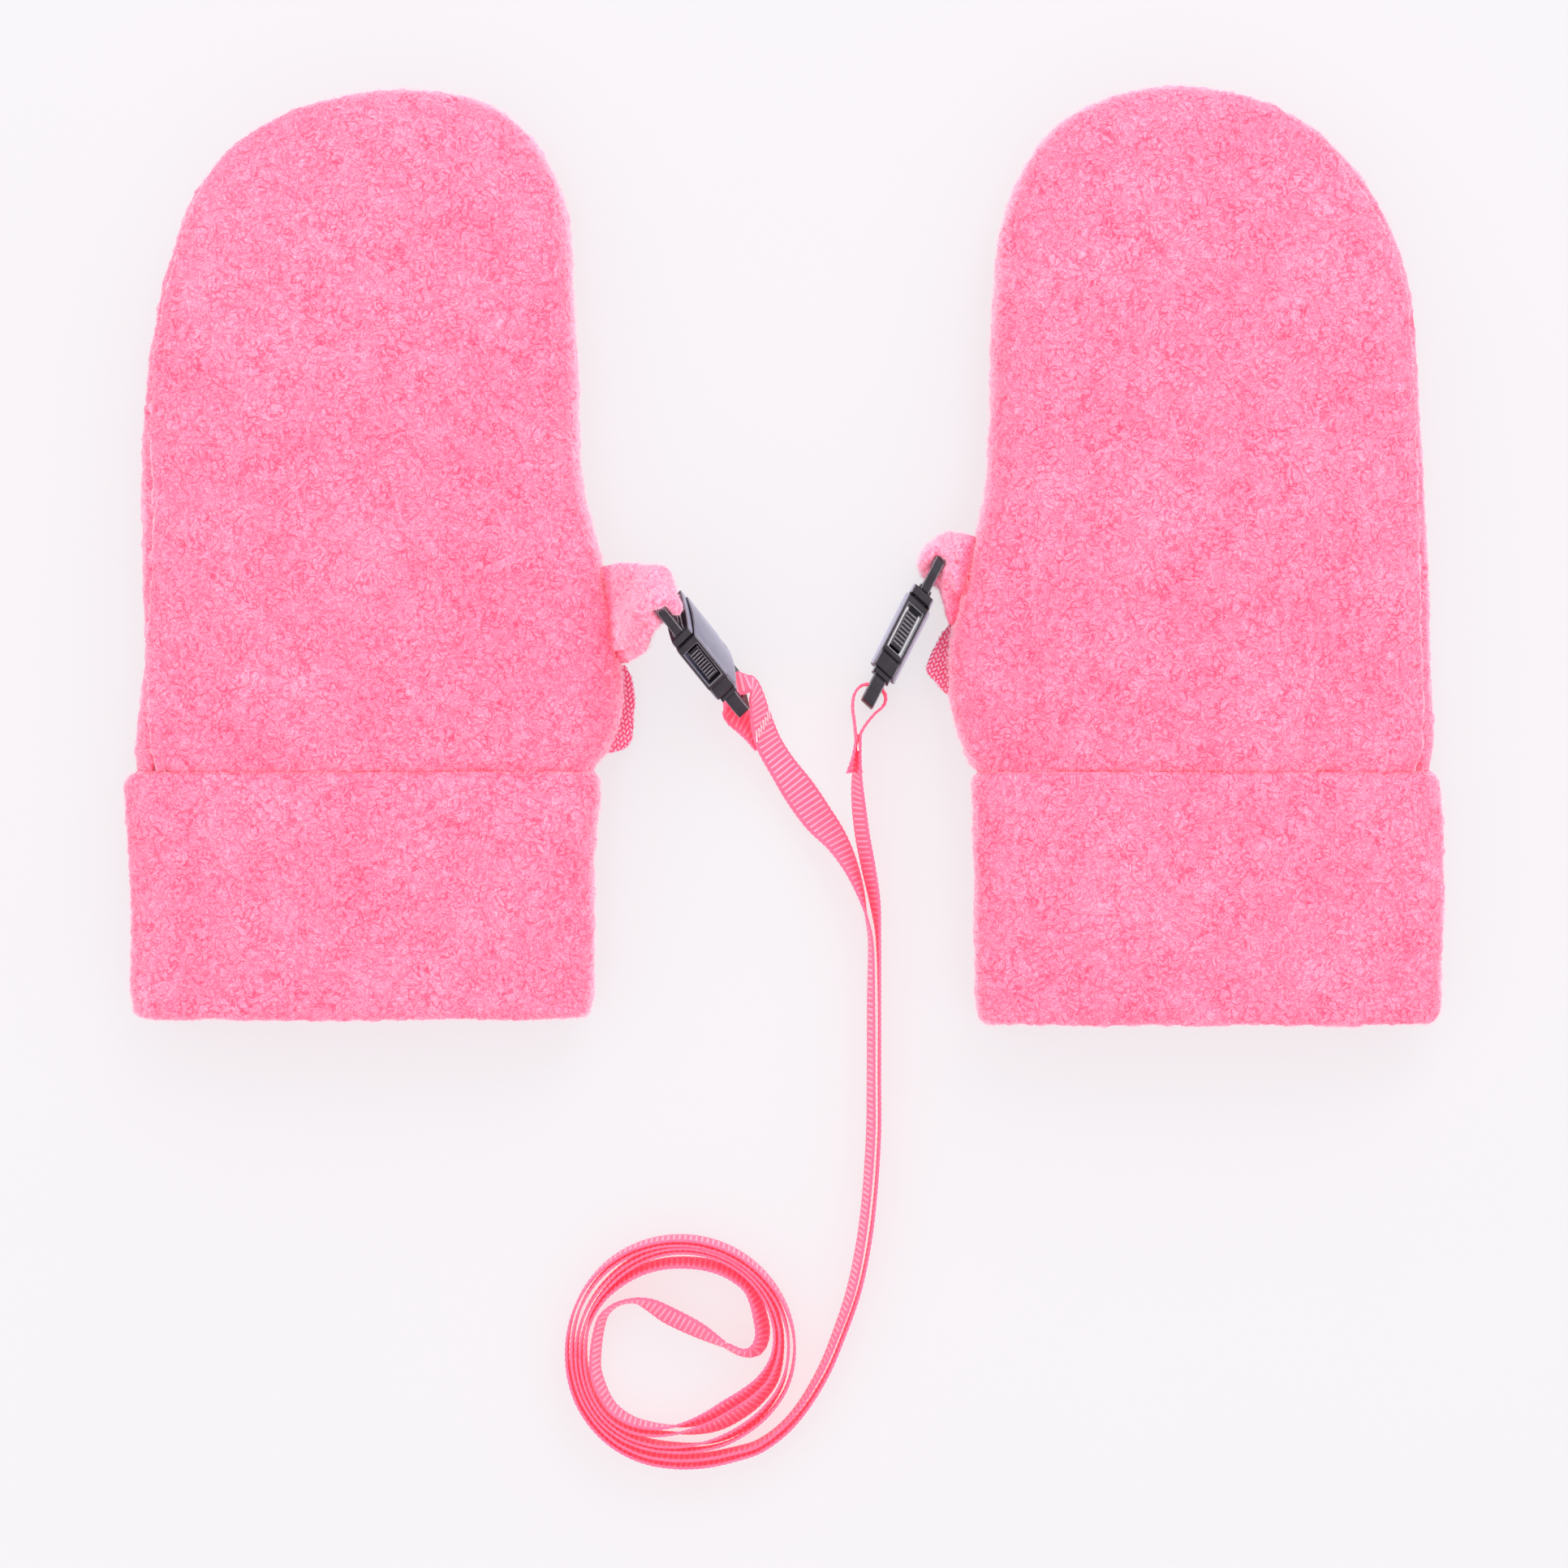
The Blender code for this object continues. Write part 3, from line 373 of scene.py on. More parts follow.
# Coil: how far round clockwise from the right, where the top edge is, and how far it leans inwards.
COIL_MIDDLE = (-16.7, -127.8)
TurnRow = namedtuple("TurnRow", "turn reach lean")
LEFT_COIL = table(
    TurnRow,
    (49.5, 19.7, 0), (60, 18.6, 0), (74, 17.8, 0), (90, 17.4, 0),
    (120, 17.8, 0), (150, 17.7, 0), (180, 17.5, 0), (225, 17.5, 0),
    (270, 17.1, 1), (315, 17.2, 1), (345, 17.5, 0), (362, 17.4, 0),
    (382, 16.7, 8), (405, 15.5, 16), (428, 15, 14), (450, 15.2, 4),
    (475, 15.9, 0), (495, 16.4, 0), (540, 16.1, 0), (585, 15.5, 0),
    (630, 15.9, 2), (675, 16, 2), (705, 15.5, 4), (720, 14.9, 8),
    (740, 13, 20), (765, 10.7, 28), (790, 10.6, 25), (810, 11.6, 12),
    (832, 13.2, 0), (855, 14.7, -6), (880, 14.8, -12), (900, 14.6, -14),
)
RIGHT_COIL = table(
    TurnRow,
    (49.5, 20.7, 0), (60, 19.7, 0), (74, 19, 0), (90, 18.6, 0),
    (120, 18.7, 0), (150, 18.6, 0), (180, 18.3, 0), (225, 18.3, 0),
    (270, 17.9, 2), (315, 18, 2), (345, 18.4, 0), (362, 18.4, 0),
    (382, 18, 2), (405, 17, 5), (428, 16.4, 6), (450, 16.1, 2),
    (475, 16.6, 0), (495, 17.1, 0), (540, 16.8, 0), (585, 16.3, 0),
    (630, 16.6, 2), (675, 16.6, 2), (705, 16.3, 4), (720, 15.8, 7),
    (740, 14.7, 18), (765, 12.6, 28), (790, 12.2, 24), (810, 12.9, 10),
    (832, 14.4, 0), (855, 15.7, 0), (900, 15.4, 0), (930, 14.9, 4),
    (945, 14.3, 7), (990, 13.6, 9), (1020, 14.1, 11), (1035, 14.3, 14),
    (1050, 13.6, 18),
)
# The ribbon's own middle: from the left of the coil across it, and the fold that it comes from.
LEFT_ACROSS = table(
    RibbonRow,
    (-29.4, -122.9, 3.2, -12),
    (-27.2, -120.6, 3.2, -10),
    (-24, -119.9, 3.1, -14),
    (-21.6, -120.6, 3, -26),
    (-18.6, -122.3, 2.9, -34),
    (-13.6, -124.8, 2.9, -30),
    (-9.6, -127, 3.1, -14),
)
RIGHT_FOLD = table(
    RibbonRow,
    (-3.6, -123.6, 3.1, 20),
    (-3.6, -126.1, 3.1, 22),
    (-4.6, -127.9, 3, 24),
    (-6.6, -128.3, 3.1, 18),
    (-9.5, -127.05, 3.1, 14),
)
RIBBON_HALF = 3.0       # half the ribbon's width
COIL_LIFT = 0.2         # how far a turn that stands straight is off the table
COIL_STEP = 15.0        # from one point of the coil to the next, in degrees


def directions(points):
    last = len(points) - 1
    return [(points[min(i + 1, last)] - points[max(i - 1, 0)]).normalized() for i in range(last + 1)]


def upright(way):
    """The upper edge's way for a ribbon that stands straight, and the way to its right."""
    up = (Vector((0.0, 0.0, 1.0)) - way * way.z).normalized()
    return up, way.cross(up)


def coil_rows(rows):
    """The middle of the ribbon as it goes round the coil, in the pair's frame."""
    made = []
    for row in rows:
        lean = math.radians(row.lean)
        angle = math.radians(-row.turn)
        reach = row.reach + RIBBON_HALF * math.sin(lean)
        x = COIL_MIDDLE[0] + reach * math.cos(angle)
        y = COIL_MIDDLE[1] + reach * math.sin(angle)
        made.append(RibbonRow(x, y, COIL_LIFT + RIBBON_HALF * math.cos(lean), row.lean))
    return made


def finer_turns(rows):
    turns = np.arange(rows[0].turn, rows[-1].turn + 0.1, COIL_STEP)
    return [TurnRow(t, through(rows, "turn", "reach", t), through(rows, "turn", "lean", t)) for t in turns]


def string_route(clip, tail, turn, run, turns, rest):
    """One half of the string, as rows from its sewn-down tail to the ribbon's middle."""
    matrix = clip_matrix(clip)
    width_way = matrix.col[1].xyz
    bar = [matrix @ (Vector((row.along, 0.0, clip.outer_face * row.off)) * MM) / MM for row in turn]
    rows = list(tail) + [RibbonRow(*point, 0.0) for point in bar] + list(run)
    ways = directions([Vector(row[:3]) for row in rows])
    for index in range(len(tail), len(tail) + len(bar)):
        up, right = upright(ways[index])
        lean = math.degrees(math.atan2(width_way.dot(right), width_way.dot(up)))
        rows[index] = rows[index]._replace(lean=lean)
    return rows + coil_rows(finer_turns(turns)) + list(rest)


def evenly(rows, step):
    """Points every step along a smooth curve through the rows, in metres, with the lean at each."""
    runs = [0.0]
    for before, after in zip(rows, rows[1:]):
        runs.append(runs[-1] + math.dist(before[:3], after[:3]))
    Station = namedtuple("Station", "run x y z lean")
    stations = [Station(run, *row) for run, row in zip(runs, rows)]
    count = round(runs[-1] / step)
    made = []
    for index in range(count + 1):
        run = runs[-1] * index / count
        made.append([through(stations, "run", field, run) for field in ("x", "y", "z", "lean")])
    return [Vector(row[:3]) * MM for row in made], [math.radians(row[3]) for row in made]


# Half of the ribbon's section: across as a share of half the width, off as a share of half the
# thickness, and how much of each rib's swell it takes.
SectionRow = namedtuple("SectionRow", "across off swell")
RIBBON_SECTION = table(
    SectionRow,
    (1, 0, 1),
    (0.985, 0.8, 1),
    (0.93, 1, 0.8),
    (0.87, 0.62, 0.3),
    (0.8, 0.9, 1),
    (0.4, 0.92, 1),
    (0, 0.92, 1),
)
GROOVE_DEPTH = 0.34     # between two ribs, as a share of half the thickness
GROOVE_WAIST = 0.02     # how much narrower the ribbon is there
BEAD_START = 0.84       # where the edge's bead starts, as a share of half the width
# Painted shade along the edge's bead:
BEAD_SHADE = 0.75       # how deep in colour the bead is


def ribbon_piece(name, rows, settings, material):
    """A grosgrain ribbon: ribs across it, and a beaded edge on both sides."""
    points, leans = evenly(rows, settings.rib / MM / 4.0)
    half = list(RIBBON_SECTION)
    section = half + [(-a, o, s) for a, o, s in half[-2::-1]]
    section += [(-a, -o, s) for a, o, s in half[1:]] + [(a, -o, s) for a, o, s in half[-2:0:-1]]
    work = bmesh.new()
    rings = []
    groove = []
    for index, (point, way, lean) in enumerate(zip(points, directions(points), leans)):
        up, right = upright(way)
        edge = up * math.cos(lean) + right * math.sin(lean)
        face = way.cross(edge)
        wave = 0.5 + 0.5 * math.cos(index * math.pi / 2.0)     # four points to a rib
        ring = []
        for across, off, swell in section:
            thick = settings.thickness / 2.0 * (1.0 - GROOVE_DEPTH * swell * (1.0 - wave))
            wide = settings.width / 2.0 * (1.0 - GROOVE_WAIST * (1.0 - wave))
            ring.append(work.verts.new(point + edge * (across * wide) + face * (off * thick)))
            # Painted shade: deepest between the ribs, and along the beaded edges.
            groove.append(max(1.0 - wave, 0.0 if abs(across) < BEAD_START else BEAD_SHADE))
        rings.append(ring)
    for first, second in zip(rings, rings[1:]):
        for a, b, c, d in zip(first, first[1:] + first[:1], second[1:] + second[:1], second):
            work.faces.new((a, b, c, d))
    work.faces.new(rings[0])
    work.faces.new(rings[-1][::-1])
    bmesh.ops.recalc_face_normals(work, faces=work.faces)
    piece = placed(name, mesh_of(name, work), material)
    mark(piece.data, "groove", groove)
    return piece, points, leans


def ribbon_finish(settings):
    # The red glow is painted light: it keeps the ribbon's shaded sides and the coil's gaps a bright red.
    finish = Finish(
        "pink grosgrain", Roughness=0.6, Specular_IOR_Level=0.15, Subsurface_Weight=1.0,
        Subsurface_Radius=(4.0, 0.7, 0.9), Subsurface_Scale=0.001, Emission_Color=(1.0, 0.07, 0.11, 1.0),
        Emission_Strength=0.42,
    )
    place = finish.place()
    groove = finish.attribute("groove")
    thread = finish.noise(place, 0.00016, 3.0, 0.6)
    tone = finish.noise(place, 0.006, 2.0)
    mixed = finish.plus(groove, thread, 0.35)
    mixed = finish.plus(mixed, tone, 0.25)
    # Painted shade in the grooves and along the edges, with thread and tone at random.
    shade = finish.ramp(mixed, ((0.15, settings.face), (0.78125, settings.groove)))
    return finish.finished(shade, Normal=finish.bump(thread, 0.00006, 0.7))


# ---- fleece -------------------------------------------------------------------------------------


def fleece_finish(settings):
    # The faint red glow is painted light: it keeps the shaded creases a bright pink.
    finish = Finish(
        "pink fleece", Roughness=0.95, Specular_IOR_Level=0.15, Sheen_Weight=0.35, Sheen_Roughness=0.5,
        Sheen_Tint=(1.0, 0.82, 0.92, 1.0), Subsurface_Weight=0.15, Subsurface_Radius=(2.4, 0.5, 0.7),
        Subsurface_Scale=0.001, Emission_Color=(1.0, 0.10, 0.20, 1.0), Emission_Strength=0.12,
    )
    place = finish.place()
    sockets = {"Vector": place, "Scale": 1.0 / (settings.tuft * 1.6), "Detail": 1.0}
    sway = finish.add("TexNoise", sockets).outputs["Color"]
    sway = finish.add("VectorMath", {0: sway, 1: (0.5, 0.5, 0.5)}, operation="SUBTRACT").outputs[0]
    sway = finish.add("VectorMath", {0: sway, "Scale": settings.tuft * 1.3}, operation="SCALE").outputs[0]
    swirled = finish.add("VectorMath", {0: place, 1: sway}, operation="ADD").outputs[0]
    curl = finish.noise(swirled, settings.tuft * 0.8, 1.0)
    crease = finish.maths("ABSOLUTE", finish.maths("SUBTRACT", curl, 0.5))
    crease = finish.maths("MINIMUM", finish.maths("MULTIPLY", crease, 14.0), 1.0)
    patch = finish.noise(place, settings.tuft * 2.1, 2.0)
    hair = finish.noise(swirled, 0.0003, 3.0, 0.7, 0.6)
    tone = finish.noise(place, 0.012, 2.0)
    # Painted shade where the nap's creases run, mostly in the darker patches.
    darker = finish.maths("SUBTRACT", 0.85, patch)
    crease_shade = finish.maths("MULTIPLY", finish.maths("SUBTRACT", crease, 1.0), darker)
    height = finish.plus(-0.20, crease_shade, 0.70)
    height = finish.plus(height, hair, 1.20)
    # Painted light on the nap's tips and painted shade in its hollows, from the nap's height; hair and tone
    # vary at random.
    height = finish.plus(height, finish.attribute("nap"), 0.14)
    height = finish.plus(height, tone, 0.20)
    # Painted light at the rims and on the loops, with painted shade at the loops' roots.
    height = finish.plus(height, finish.attribute("pale"), 0.40)
    shade = finish.ramp(height, ((0.15, settings.hollow_shade), (0.55, settings.middle), (0.95, settings.tip_light)))
    relief = finish.plus(finish.maths("MULTIPLY", crease, 0.22), hair, 0.55)
    return finish.finished(shade, Normal=finish.bump(relief, 0.00030, 0.8))


def nap_height(point, tuft):
    """Height of the nap, about 0 to 1: short curled tufts, and softer clumps of them."""
    place = point / tuft
    bend = Vector((noise.noise(place * 0.6), noise.noise(place * 0.6 + Vector((31.7, 0.0, 0.0))), 0.0))
    curl = abs(noise.noise(place + bend * 0.9))
    clump = noise.noise(place * 0.45 + Vector((0.0, 17.3, 0.0)))
    return 0.30 + 1.0 * curl + 0.35 * clump


def tree_of(*nodes):
    """A search tree of the solids' faces."""
    work = bmesh.new()
    for node in nodes:
        work.from_mesh(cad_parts[node].data)
    tree = BVHTree.FromBMesh(work)
    work.free()
    return tree


def cloth_mesh(work, voxel, softening=6, rounding=2):
    """Soft cloth from a solid: rounded, and as one even skin."""
    piece = workpiece(mesh_of("work", work))
    if rounding:
        smoother = piece.modifiers.new("Rounding", "SUBSURF")
        smoother.levels = smoother.render_levels = rounding
    remesh = piece.modifiers.new("Cloth", "REMESH")
    remesh.mode = "VOXEL"
    remesh.voxel_size = voxel
    softer = piece.modifiers.new("Softening", "SMOOTH")
    softer.factor = 0.5
    softer.iterations = softening
    return shaped(piece)


MEET_SEARCH = 0.0025    # least distance in which a neighbour is looked for


def meet(places, normals, tree, reach, clear):
    """Draws points that face a neighbour up to it, and keeps every point clear of it.

    reach is how far a piece's edge is drawn to its neighbour, clear what is left between them."""
    for index, (place, normal) in enumerate(zip(places, normals)):
        nearest, facing, _, distance = tree.find_nearest(Vector(place), max(reach * 1.5, MEET_SEARCH))
        if nearest is None:
            continue
        toward = nearest - Vector(place)
        if toward.dot(facing) > 0.0 or distance < clear:
            places[index] = nearest + facing * clear
        elif reach > 0.0 and toward.dot(Vector(normal)) > 0.2 * distance:
            share = min(max((reach * 1.5 - distance) / (reach * 0.5), 0.0), 1.0)
            places[index] = Vector(place) + toward * (share * (distance - clear) / distance)
    return places


def outside_weight(places, normals, middle):
    """1 where the cloth faces away from the middle of its piece, 0 where it faces in."""
    away = (places - middle) * np.array((0.3, 0.3, 1.0))
    away /= np.linalg.norm(away, axis=1)[:, None] + 1e-9
    facing = (away * normals).sum(axis=1)
    return np.clip(facing * 2.5 + 0.25, 0.0, 1.0)


INSIDE_LEAST = 100      # fewer points than this on the inside aren't worth thinning
INSIDE_THINNED = 0.85   # share of the inside's faces that is taken out


def plainer_inside(mesh, middle):
    """Fewer faces on the side of the cloth that nobody sees."""
    weight = outside_weight(columns(mesh, "co"), columns(mesh, "normal"), middle)
    inner = np.flatnonzero(weight < 0.02).tolist()
    if len(inner) < INSIDE_LEAST:
        return mesh
    piece = workpiece(mesh)
    piece.vertex_groups.new(name="inside").add(inner, 1.0, "REPLACE")
    thin = piece.modifiers.new("Plainer inside", "DECIMATE")
    thin.vertex_group = "inside"
    thin.ratio = 1.0 - INSIDE_THINNED * len(inner) / len(mesh.vertices)
    return shaped(piece)


# Painted shade, deeper in colour near a piece's neighbour:
ROOT_REACH = 0.0024     # how far from its neighbour a piece is deeper in colour
ROOT_SHADE = 0.40       # how much deeper it is there


def painted_root_shade(rim, places, tree):
    """Painted shade: deeper in colour where a piece comes out of its neighbour."""
    for index, place in enumerate(places):
        distance = tree.find_nearest(Vector(place), ROOT_REACH)[3]
        if distance is not None:
            share = distance / ROOT_REACH
            rim[index] = rim[index] * share - ROOT_SHADE * (1.0 - share)
    return rim


NAP_MIDDLE = 0.55       # nap height at which the cloth neither rises nor sinks
UNEVEN = 0.00028        # how far the cloth rises and sinks in soft patches
PATCH_SIZE = 0.011      # distance between one such patch and the next
SKIN = 0.00012          # how far the nap as a whole stands off the solid
OFF_TABLE = 0.00004     # lowest that the cloth reaches


def add_nap(mesh, middle, settings, neighbours=(), pale=0.0):
    """Raises the nap on the cloth's outside, and draws its edges up to the neighbours.

    Light is painted at the rims where the cloth turns away, and all over by pale, for light that goes through
    its nap;
    pale also lowers the nap, and shade is painted where a pale piece comes out of its last neighbour."""
    places, normals = columns(mesh, "co"), columns(mesh, "normal")
    weight = outside_weight(places, normals, middle) if middle is not None else np.ones(len(places))
    nap = np.array([nap_height(Vector(place), settings.tuft) for place in places])
    soft = np.array([noise.noise(Vector(place) / PATCH_SIZE) for place in places])
    raised = ((nap - NAP_MIDDLE) * settings.nap * 1.4 + soft * UNEVEN) * (1.0 - pale) * weight
    places = places + normals * (raised + SKIN)[:, None]
    for tree, reach, clear in neighbours:
        places = meet(places, normals, tree, reach, clear)
    places[:, 2] = np.maximum(places[:, 2], OFF_TABLE)
    mesh.vertices.foreach_set("co", places.ravel())
    # Painted light at the rims, where the cloth turns away from above.
    rim = np.maximum(np.clip(1.15 - np.abs(normals[:, 2]) * 1.9, 0.0, 1.0), pale) * weight
    if pale > 0.0:
        rim = painted_root_shade(rim, places, neighbours[-1][0])
    # The nap's height, which the finish uses to paint light on the tips and shade in the hollows.
    mark(mesh, "nap", np.clip(nap, 0.0, 1.0))
    mark(mesh, "pale", rim)
    mesh.update()
    mesh.shade_smooth()
    return weight


# Fibres that stand out of the nap: how long and how thick they are, how far they lean, how deep their
# roots are in the cloth, and how far off the table they stay.
FIBRE_LENGTH = 0.0011
FIBRE_THICK = 0.00005
FIBRE_LEAN = 0.9
FIBRE_ROOT = 0.0002
FIBRE_OFF_TABLE = 0.00003


def fibres(mesh, weight, count, seed):
    """The fleece's loose fibres, closed spikes that stand out of the cloth where the weight is."""
    spike = bmesh.new()
    bmesh.ops.create_cone(spike, cap_ends=True, segments=3, radius1=0.5, radius2=0.0, depth=1.0)
    bmesh.ops.translate(spike, verts=spike.verts, vec=(0.0, 0.0, 0.5))
    bmesh.ops.remove_doubles(spike, verts=spike.verts, dist=1e-4)
    bmesh.ops.recalc_face_normals(spike, faces=spike.faces)
    corners = np.array([vert.co[:] for vert in spike.verts])
    faces = np.array([[vert.index for vert in face.verts] for face in spike.faces])
    spike.free()
    chance = np.random.default_rng(seed)
    places, normals = columns(mesh, "co"), columns(mesh, "normal")
    picked = chance.choice(len(places), size=count, p=weight / weight.sum())
    way = normals[picked] + chance.normal(0.0, FIBRE_LEAN, (count, 3)) * 0.5
    way /= np.linalg.norm(way, axis=1)[:, None]
    side = np.cross(way, chance.normal(0.0, 1.0, (count, 3)))
    side /= np.linalg.norm(side, axis=1)[:, None]
    third = np.cross(way, side)
    long = FIBRE_LENGTH * chance.uniform(0.45, 1.0, count)
    aside = chance.uniform(-FIBRE_ROOT, FIBRE_ROOT, count)[:, None]
    root = places[picked] - way * FIBRE_ROOT + side * aside
    made = root[:, None, :] + FIBRE_THICK * corners[None, :, 0, None] * side[:, None, :]
    made += FIBRE_THICK * corners[None, :, 1, None] * third[:, None, :]
    made += (long[:, None] * corners[None, :, 2])[:, :, None] * way[:, None, :]
    made[:, :, 2] = np.maximum(made[:, :, 2], FIBRE_OFF_TABLE)
    turns = faces[None, :, :] + (np.arange(count) * len(corners))[:, None, None]
    fuzz = bpy.data.meshes.new("fuzz")
    fuzz.from_pydata(made.reshape(-1, 3), [], turns.reshape(-1, 3))
    return fuzz


def rim_weight(mesh, weight):
    """Where the cloth turns away from above: its rims, with a little everywhere else."""
    normals = columns(mesh, "normal")
    places = columns(mesh, "co")
    rim = np.clip(1.25 - np.abs(normals[:, 2]) * 1.9, 0.0, 1.0)
    return (0.06 + rim) * weight * (places[:, 2] > 0.0009) + 1e-9


# How a piece of cloth was cut: its flat size and area in metres, how it is held, and on what.
Cut = namedtuple("Cut", "flat area held rests_on")

# A mitten's piece of cloth: its label and node, the middle that it is wrapped round, the size of its
# faces, the neighbours that it is sewn to, and how many loose fibres it has.
ClothRow = namedtuple("ClothRow", "label part middle voxel neighbours fibres")
# How far cloth is drawn to its neighbour at a seam, and what is left between them.
SIDE_SEAM = (0.0007, 0.0002)
WRIST_SEAM = (0.0012, 0.00017)
LOOP_SEAM = (0.0022, 0.00002)
AT_CLIP = (0.0, 0.0002)
LOOP_FIBRES = 4000
# A loop is painted paler all over, as painted light going through its nap, and its nap stands lower by the
# same share.
LOOP_PALE = 0.4         # how much light goes through a loop's nap


def fleece_finished(name, mesh, node, finishes, weight, fibre_count, seed):
    material, fuzz_material = finishes
    piece = placed(name, mesh, material)
    fuzz = placed(f"{name}_fuzz", fibres(mesh, rim_weight(mesh, weight), fibre_count, seed), fuzz_material)
    for made in (piece, fuzz):
        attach(made, "root")
    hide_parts(node)


def fuzz_finish(settings):
    """Loose fibres, painted paler than the cloth: painted light, for the light that goes through them."""
    finish = Finish(
        "pale fleece fibres", Roughness=0.9, Specular_IOR_Level=0.1, Sheen_Weight=0.5, Sheen_Roughness=0.5,
        Subsurface_Weight=0.0,
    )
    tone = finish.noise(finish.place(), 0.0006, 1.0)
    shade = finish.ramp(tone, ((0.35, settings.tip_light), (0.65, settings.fibre)))
    return finish.finished(shade)


# Soft pads that fill a fleece loop out round the plug's end, in the clip's own axes: the middle, off
# towards the outer face, and half the sizes.
PadRow = namedtuple("PadRow", "along across off long wide high")
LEFT_PADS = table(
    PadRow,
    (-1, 3.4, 0.2, 1.4, 2.5, 2.3),
    (-0.8, -2, 0.9, 1.7, 2.4, 1.9),
    (1.3, 3.6, 2, 2.2, 2.2, 1),
    (1.6, 3.6, -2.1, 2, 2.2, 1.1),
)
RIGHT_PADS = table(
    PadRow,
    (-0.9, 2.8, 0, 1.3, 2.4, 2.2),
    (1, 2.8, 1.9, 2.2, 2.6, 1),
    (1.2, 2.6, -2.1, 2.6, 2.8, 1.4),
    (3.2, 2, -3.4, 2.4, 2.6, 1.2),
)


def padded_loop(node, clip, pads):
    """The loop's solid with its soft pads, as one bmesh."""
    work = welded(node)
    for pad in pads:
        size = Matrix.Diagonal((pad.long, pad.wide, pad.high, 1.0))
        place = Matrix.Translation((pad.along, pad.across, clip.outer_face * pad.off))
        matrix = clip_matrix(clip) @ Matrix.Scale(MM, 4) @ place @ size
        bmesh.ops.create_icosphere(work, subdivisions=2, radius=1.0, matrix=matrix)
    return work


# ---- clips --------------------------------------------------------------------------------------

# A clip's blocks, in its own axes: where each starts and ends along it, its width and thickness, how
# far off the middle of the width and of the thickness it lies, the rounding of its corners, and how
# far its broad faces bulge. A hole goes right through it, along Y (a window) or along Z (a slot).
Block = namedtuple("Block", "start end width thick across off corner bulge hole")
Hole = namedtuple("Hole", "axis start end size middle", defaults=(0.0,))
PLUG_BLOCKS = table(
    Block,
    (0, 6.7, 10.2, 1.6, 0, 0, 1.3, 0, Hole("Z", 1.4, 4.9, 7.8)),  # end frame
    (5.4, 6.5, 9.4, 2.3, 0, 0, 0.4, 0, None),                     # neck
    (6.1, 7.6, 10.7, 3.7, 0, 0, 0.5, 0.25, None),                 # collar
    (7.2, 13.4, 1.8, 1.9, 0, 0, 0.3, 0, None),                    # middle guide
    (7.2, 10.4, 1.3, 1.9, 3.2, 0, 0.3, 0, None),                  # arms
    (7.2, 10.4, 1.3, 1.9, -3.2, 0, 0.3, 0, None),
    (9.9, 16.3, 1.6, 2.05, 4.3, 0.04, 0.3, 0, None),              # squeeze buttons
    (9.9, 16.3, 1.6, 2.05, -4.3, 0.04, 0.3, 0, None),
)
SOCKET_BLOCKS = table(
    Block,
    (7.9, 17.7, 11, 4, 0, 0, 0.6, 0.35, Hole("Y", 9.2, 16.7, 2.75)),                # shell
    (17.5, 20.5, 10.5, 3.7, 0, 0, 0.8, 0.45, None),                                 # block behind it
    (20.3, 21.5, 10.2, 3, 0, 0, 0.8, 0.2, None),                                    # its shoulder
    (21, 26.2, 10, 2.3, 0, 0, 1.2, 0, Hole("Z", 21.9, 24.5, 7.2)),                  # end frame
    (7.95, 20.6, 10.2, 0.5, 0, 1.75, 1.1, 0.5, Hole("Z", 18.9, 19.8, 0.45, -4.2)),  # broad faces
    (7.95, 20.6, 10.2, 0.5, 0, -1.75, 1.1, 0.5, None),
)
RIDGES = 9              # on each squeeze button
RIDGE_START = 10.35     # where the first one is, along the clip
RIDGE_PITCH = 0.64
RIDGE_OUT = 0.86        # how far off the button's middle the ridges stand
RIDGE_EASE = 0.07       # rounding of a ridge's edges
EDGE_EASE = 0.16        # rounding of a block's edges
SHARP = 0.8             # angle from which an edge is rounded, in radians
# Where a broad face is cut so that it can bulge, as shares of half its width.
BULGE_CUTS = (-0.92, -0.8, -0.64, -0.46, -0.26, 0.0, 0.26, 0.46, 0.64, 0.8, 0.92)
BULGE_FULL = 1.4        # height over the middle plane from which a bulge is full
SLANT = 0.28            # how far the clip's cross lines slant, as a share of its thickness


def marked_work():
    """An empty bmesh, with room to mark its faces for a painted edge highlight and as polished."""
    work = bmesh.new()
    return work, work.faces.layers.float.new("worn"), work.faces.layers.float.new("gloss")


def bevelled(work, edges, offset, segments, **choices):
    return bmesh.ops.bevel(
        work, geom=edges, offset=offset, segments=segments, profile=0.5, affect="EDGES", material=-1,
        **choices,
    )


def sliced(work, place, way):
    """Cuts all faces along a plane."""
    everything = work.verts[:] + work.edges[:] + work.faces[:]
    bmesh.ops.bisect_plane(work, geom=everything, dist=1e-5, plane_co=place, plane_no=way)


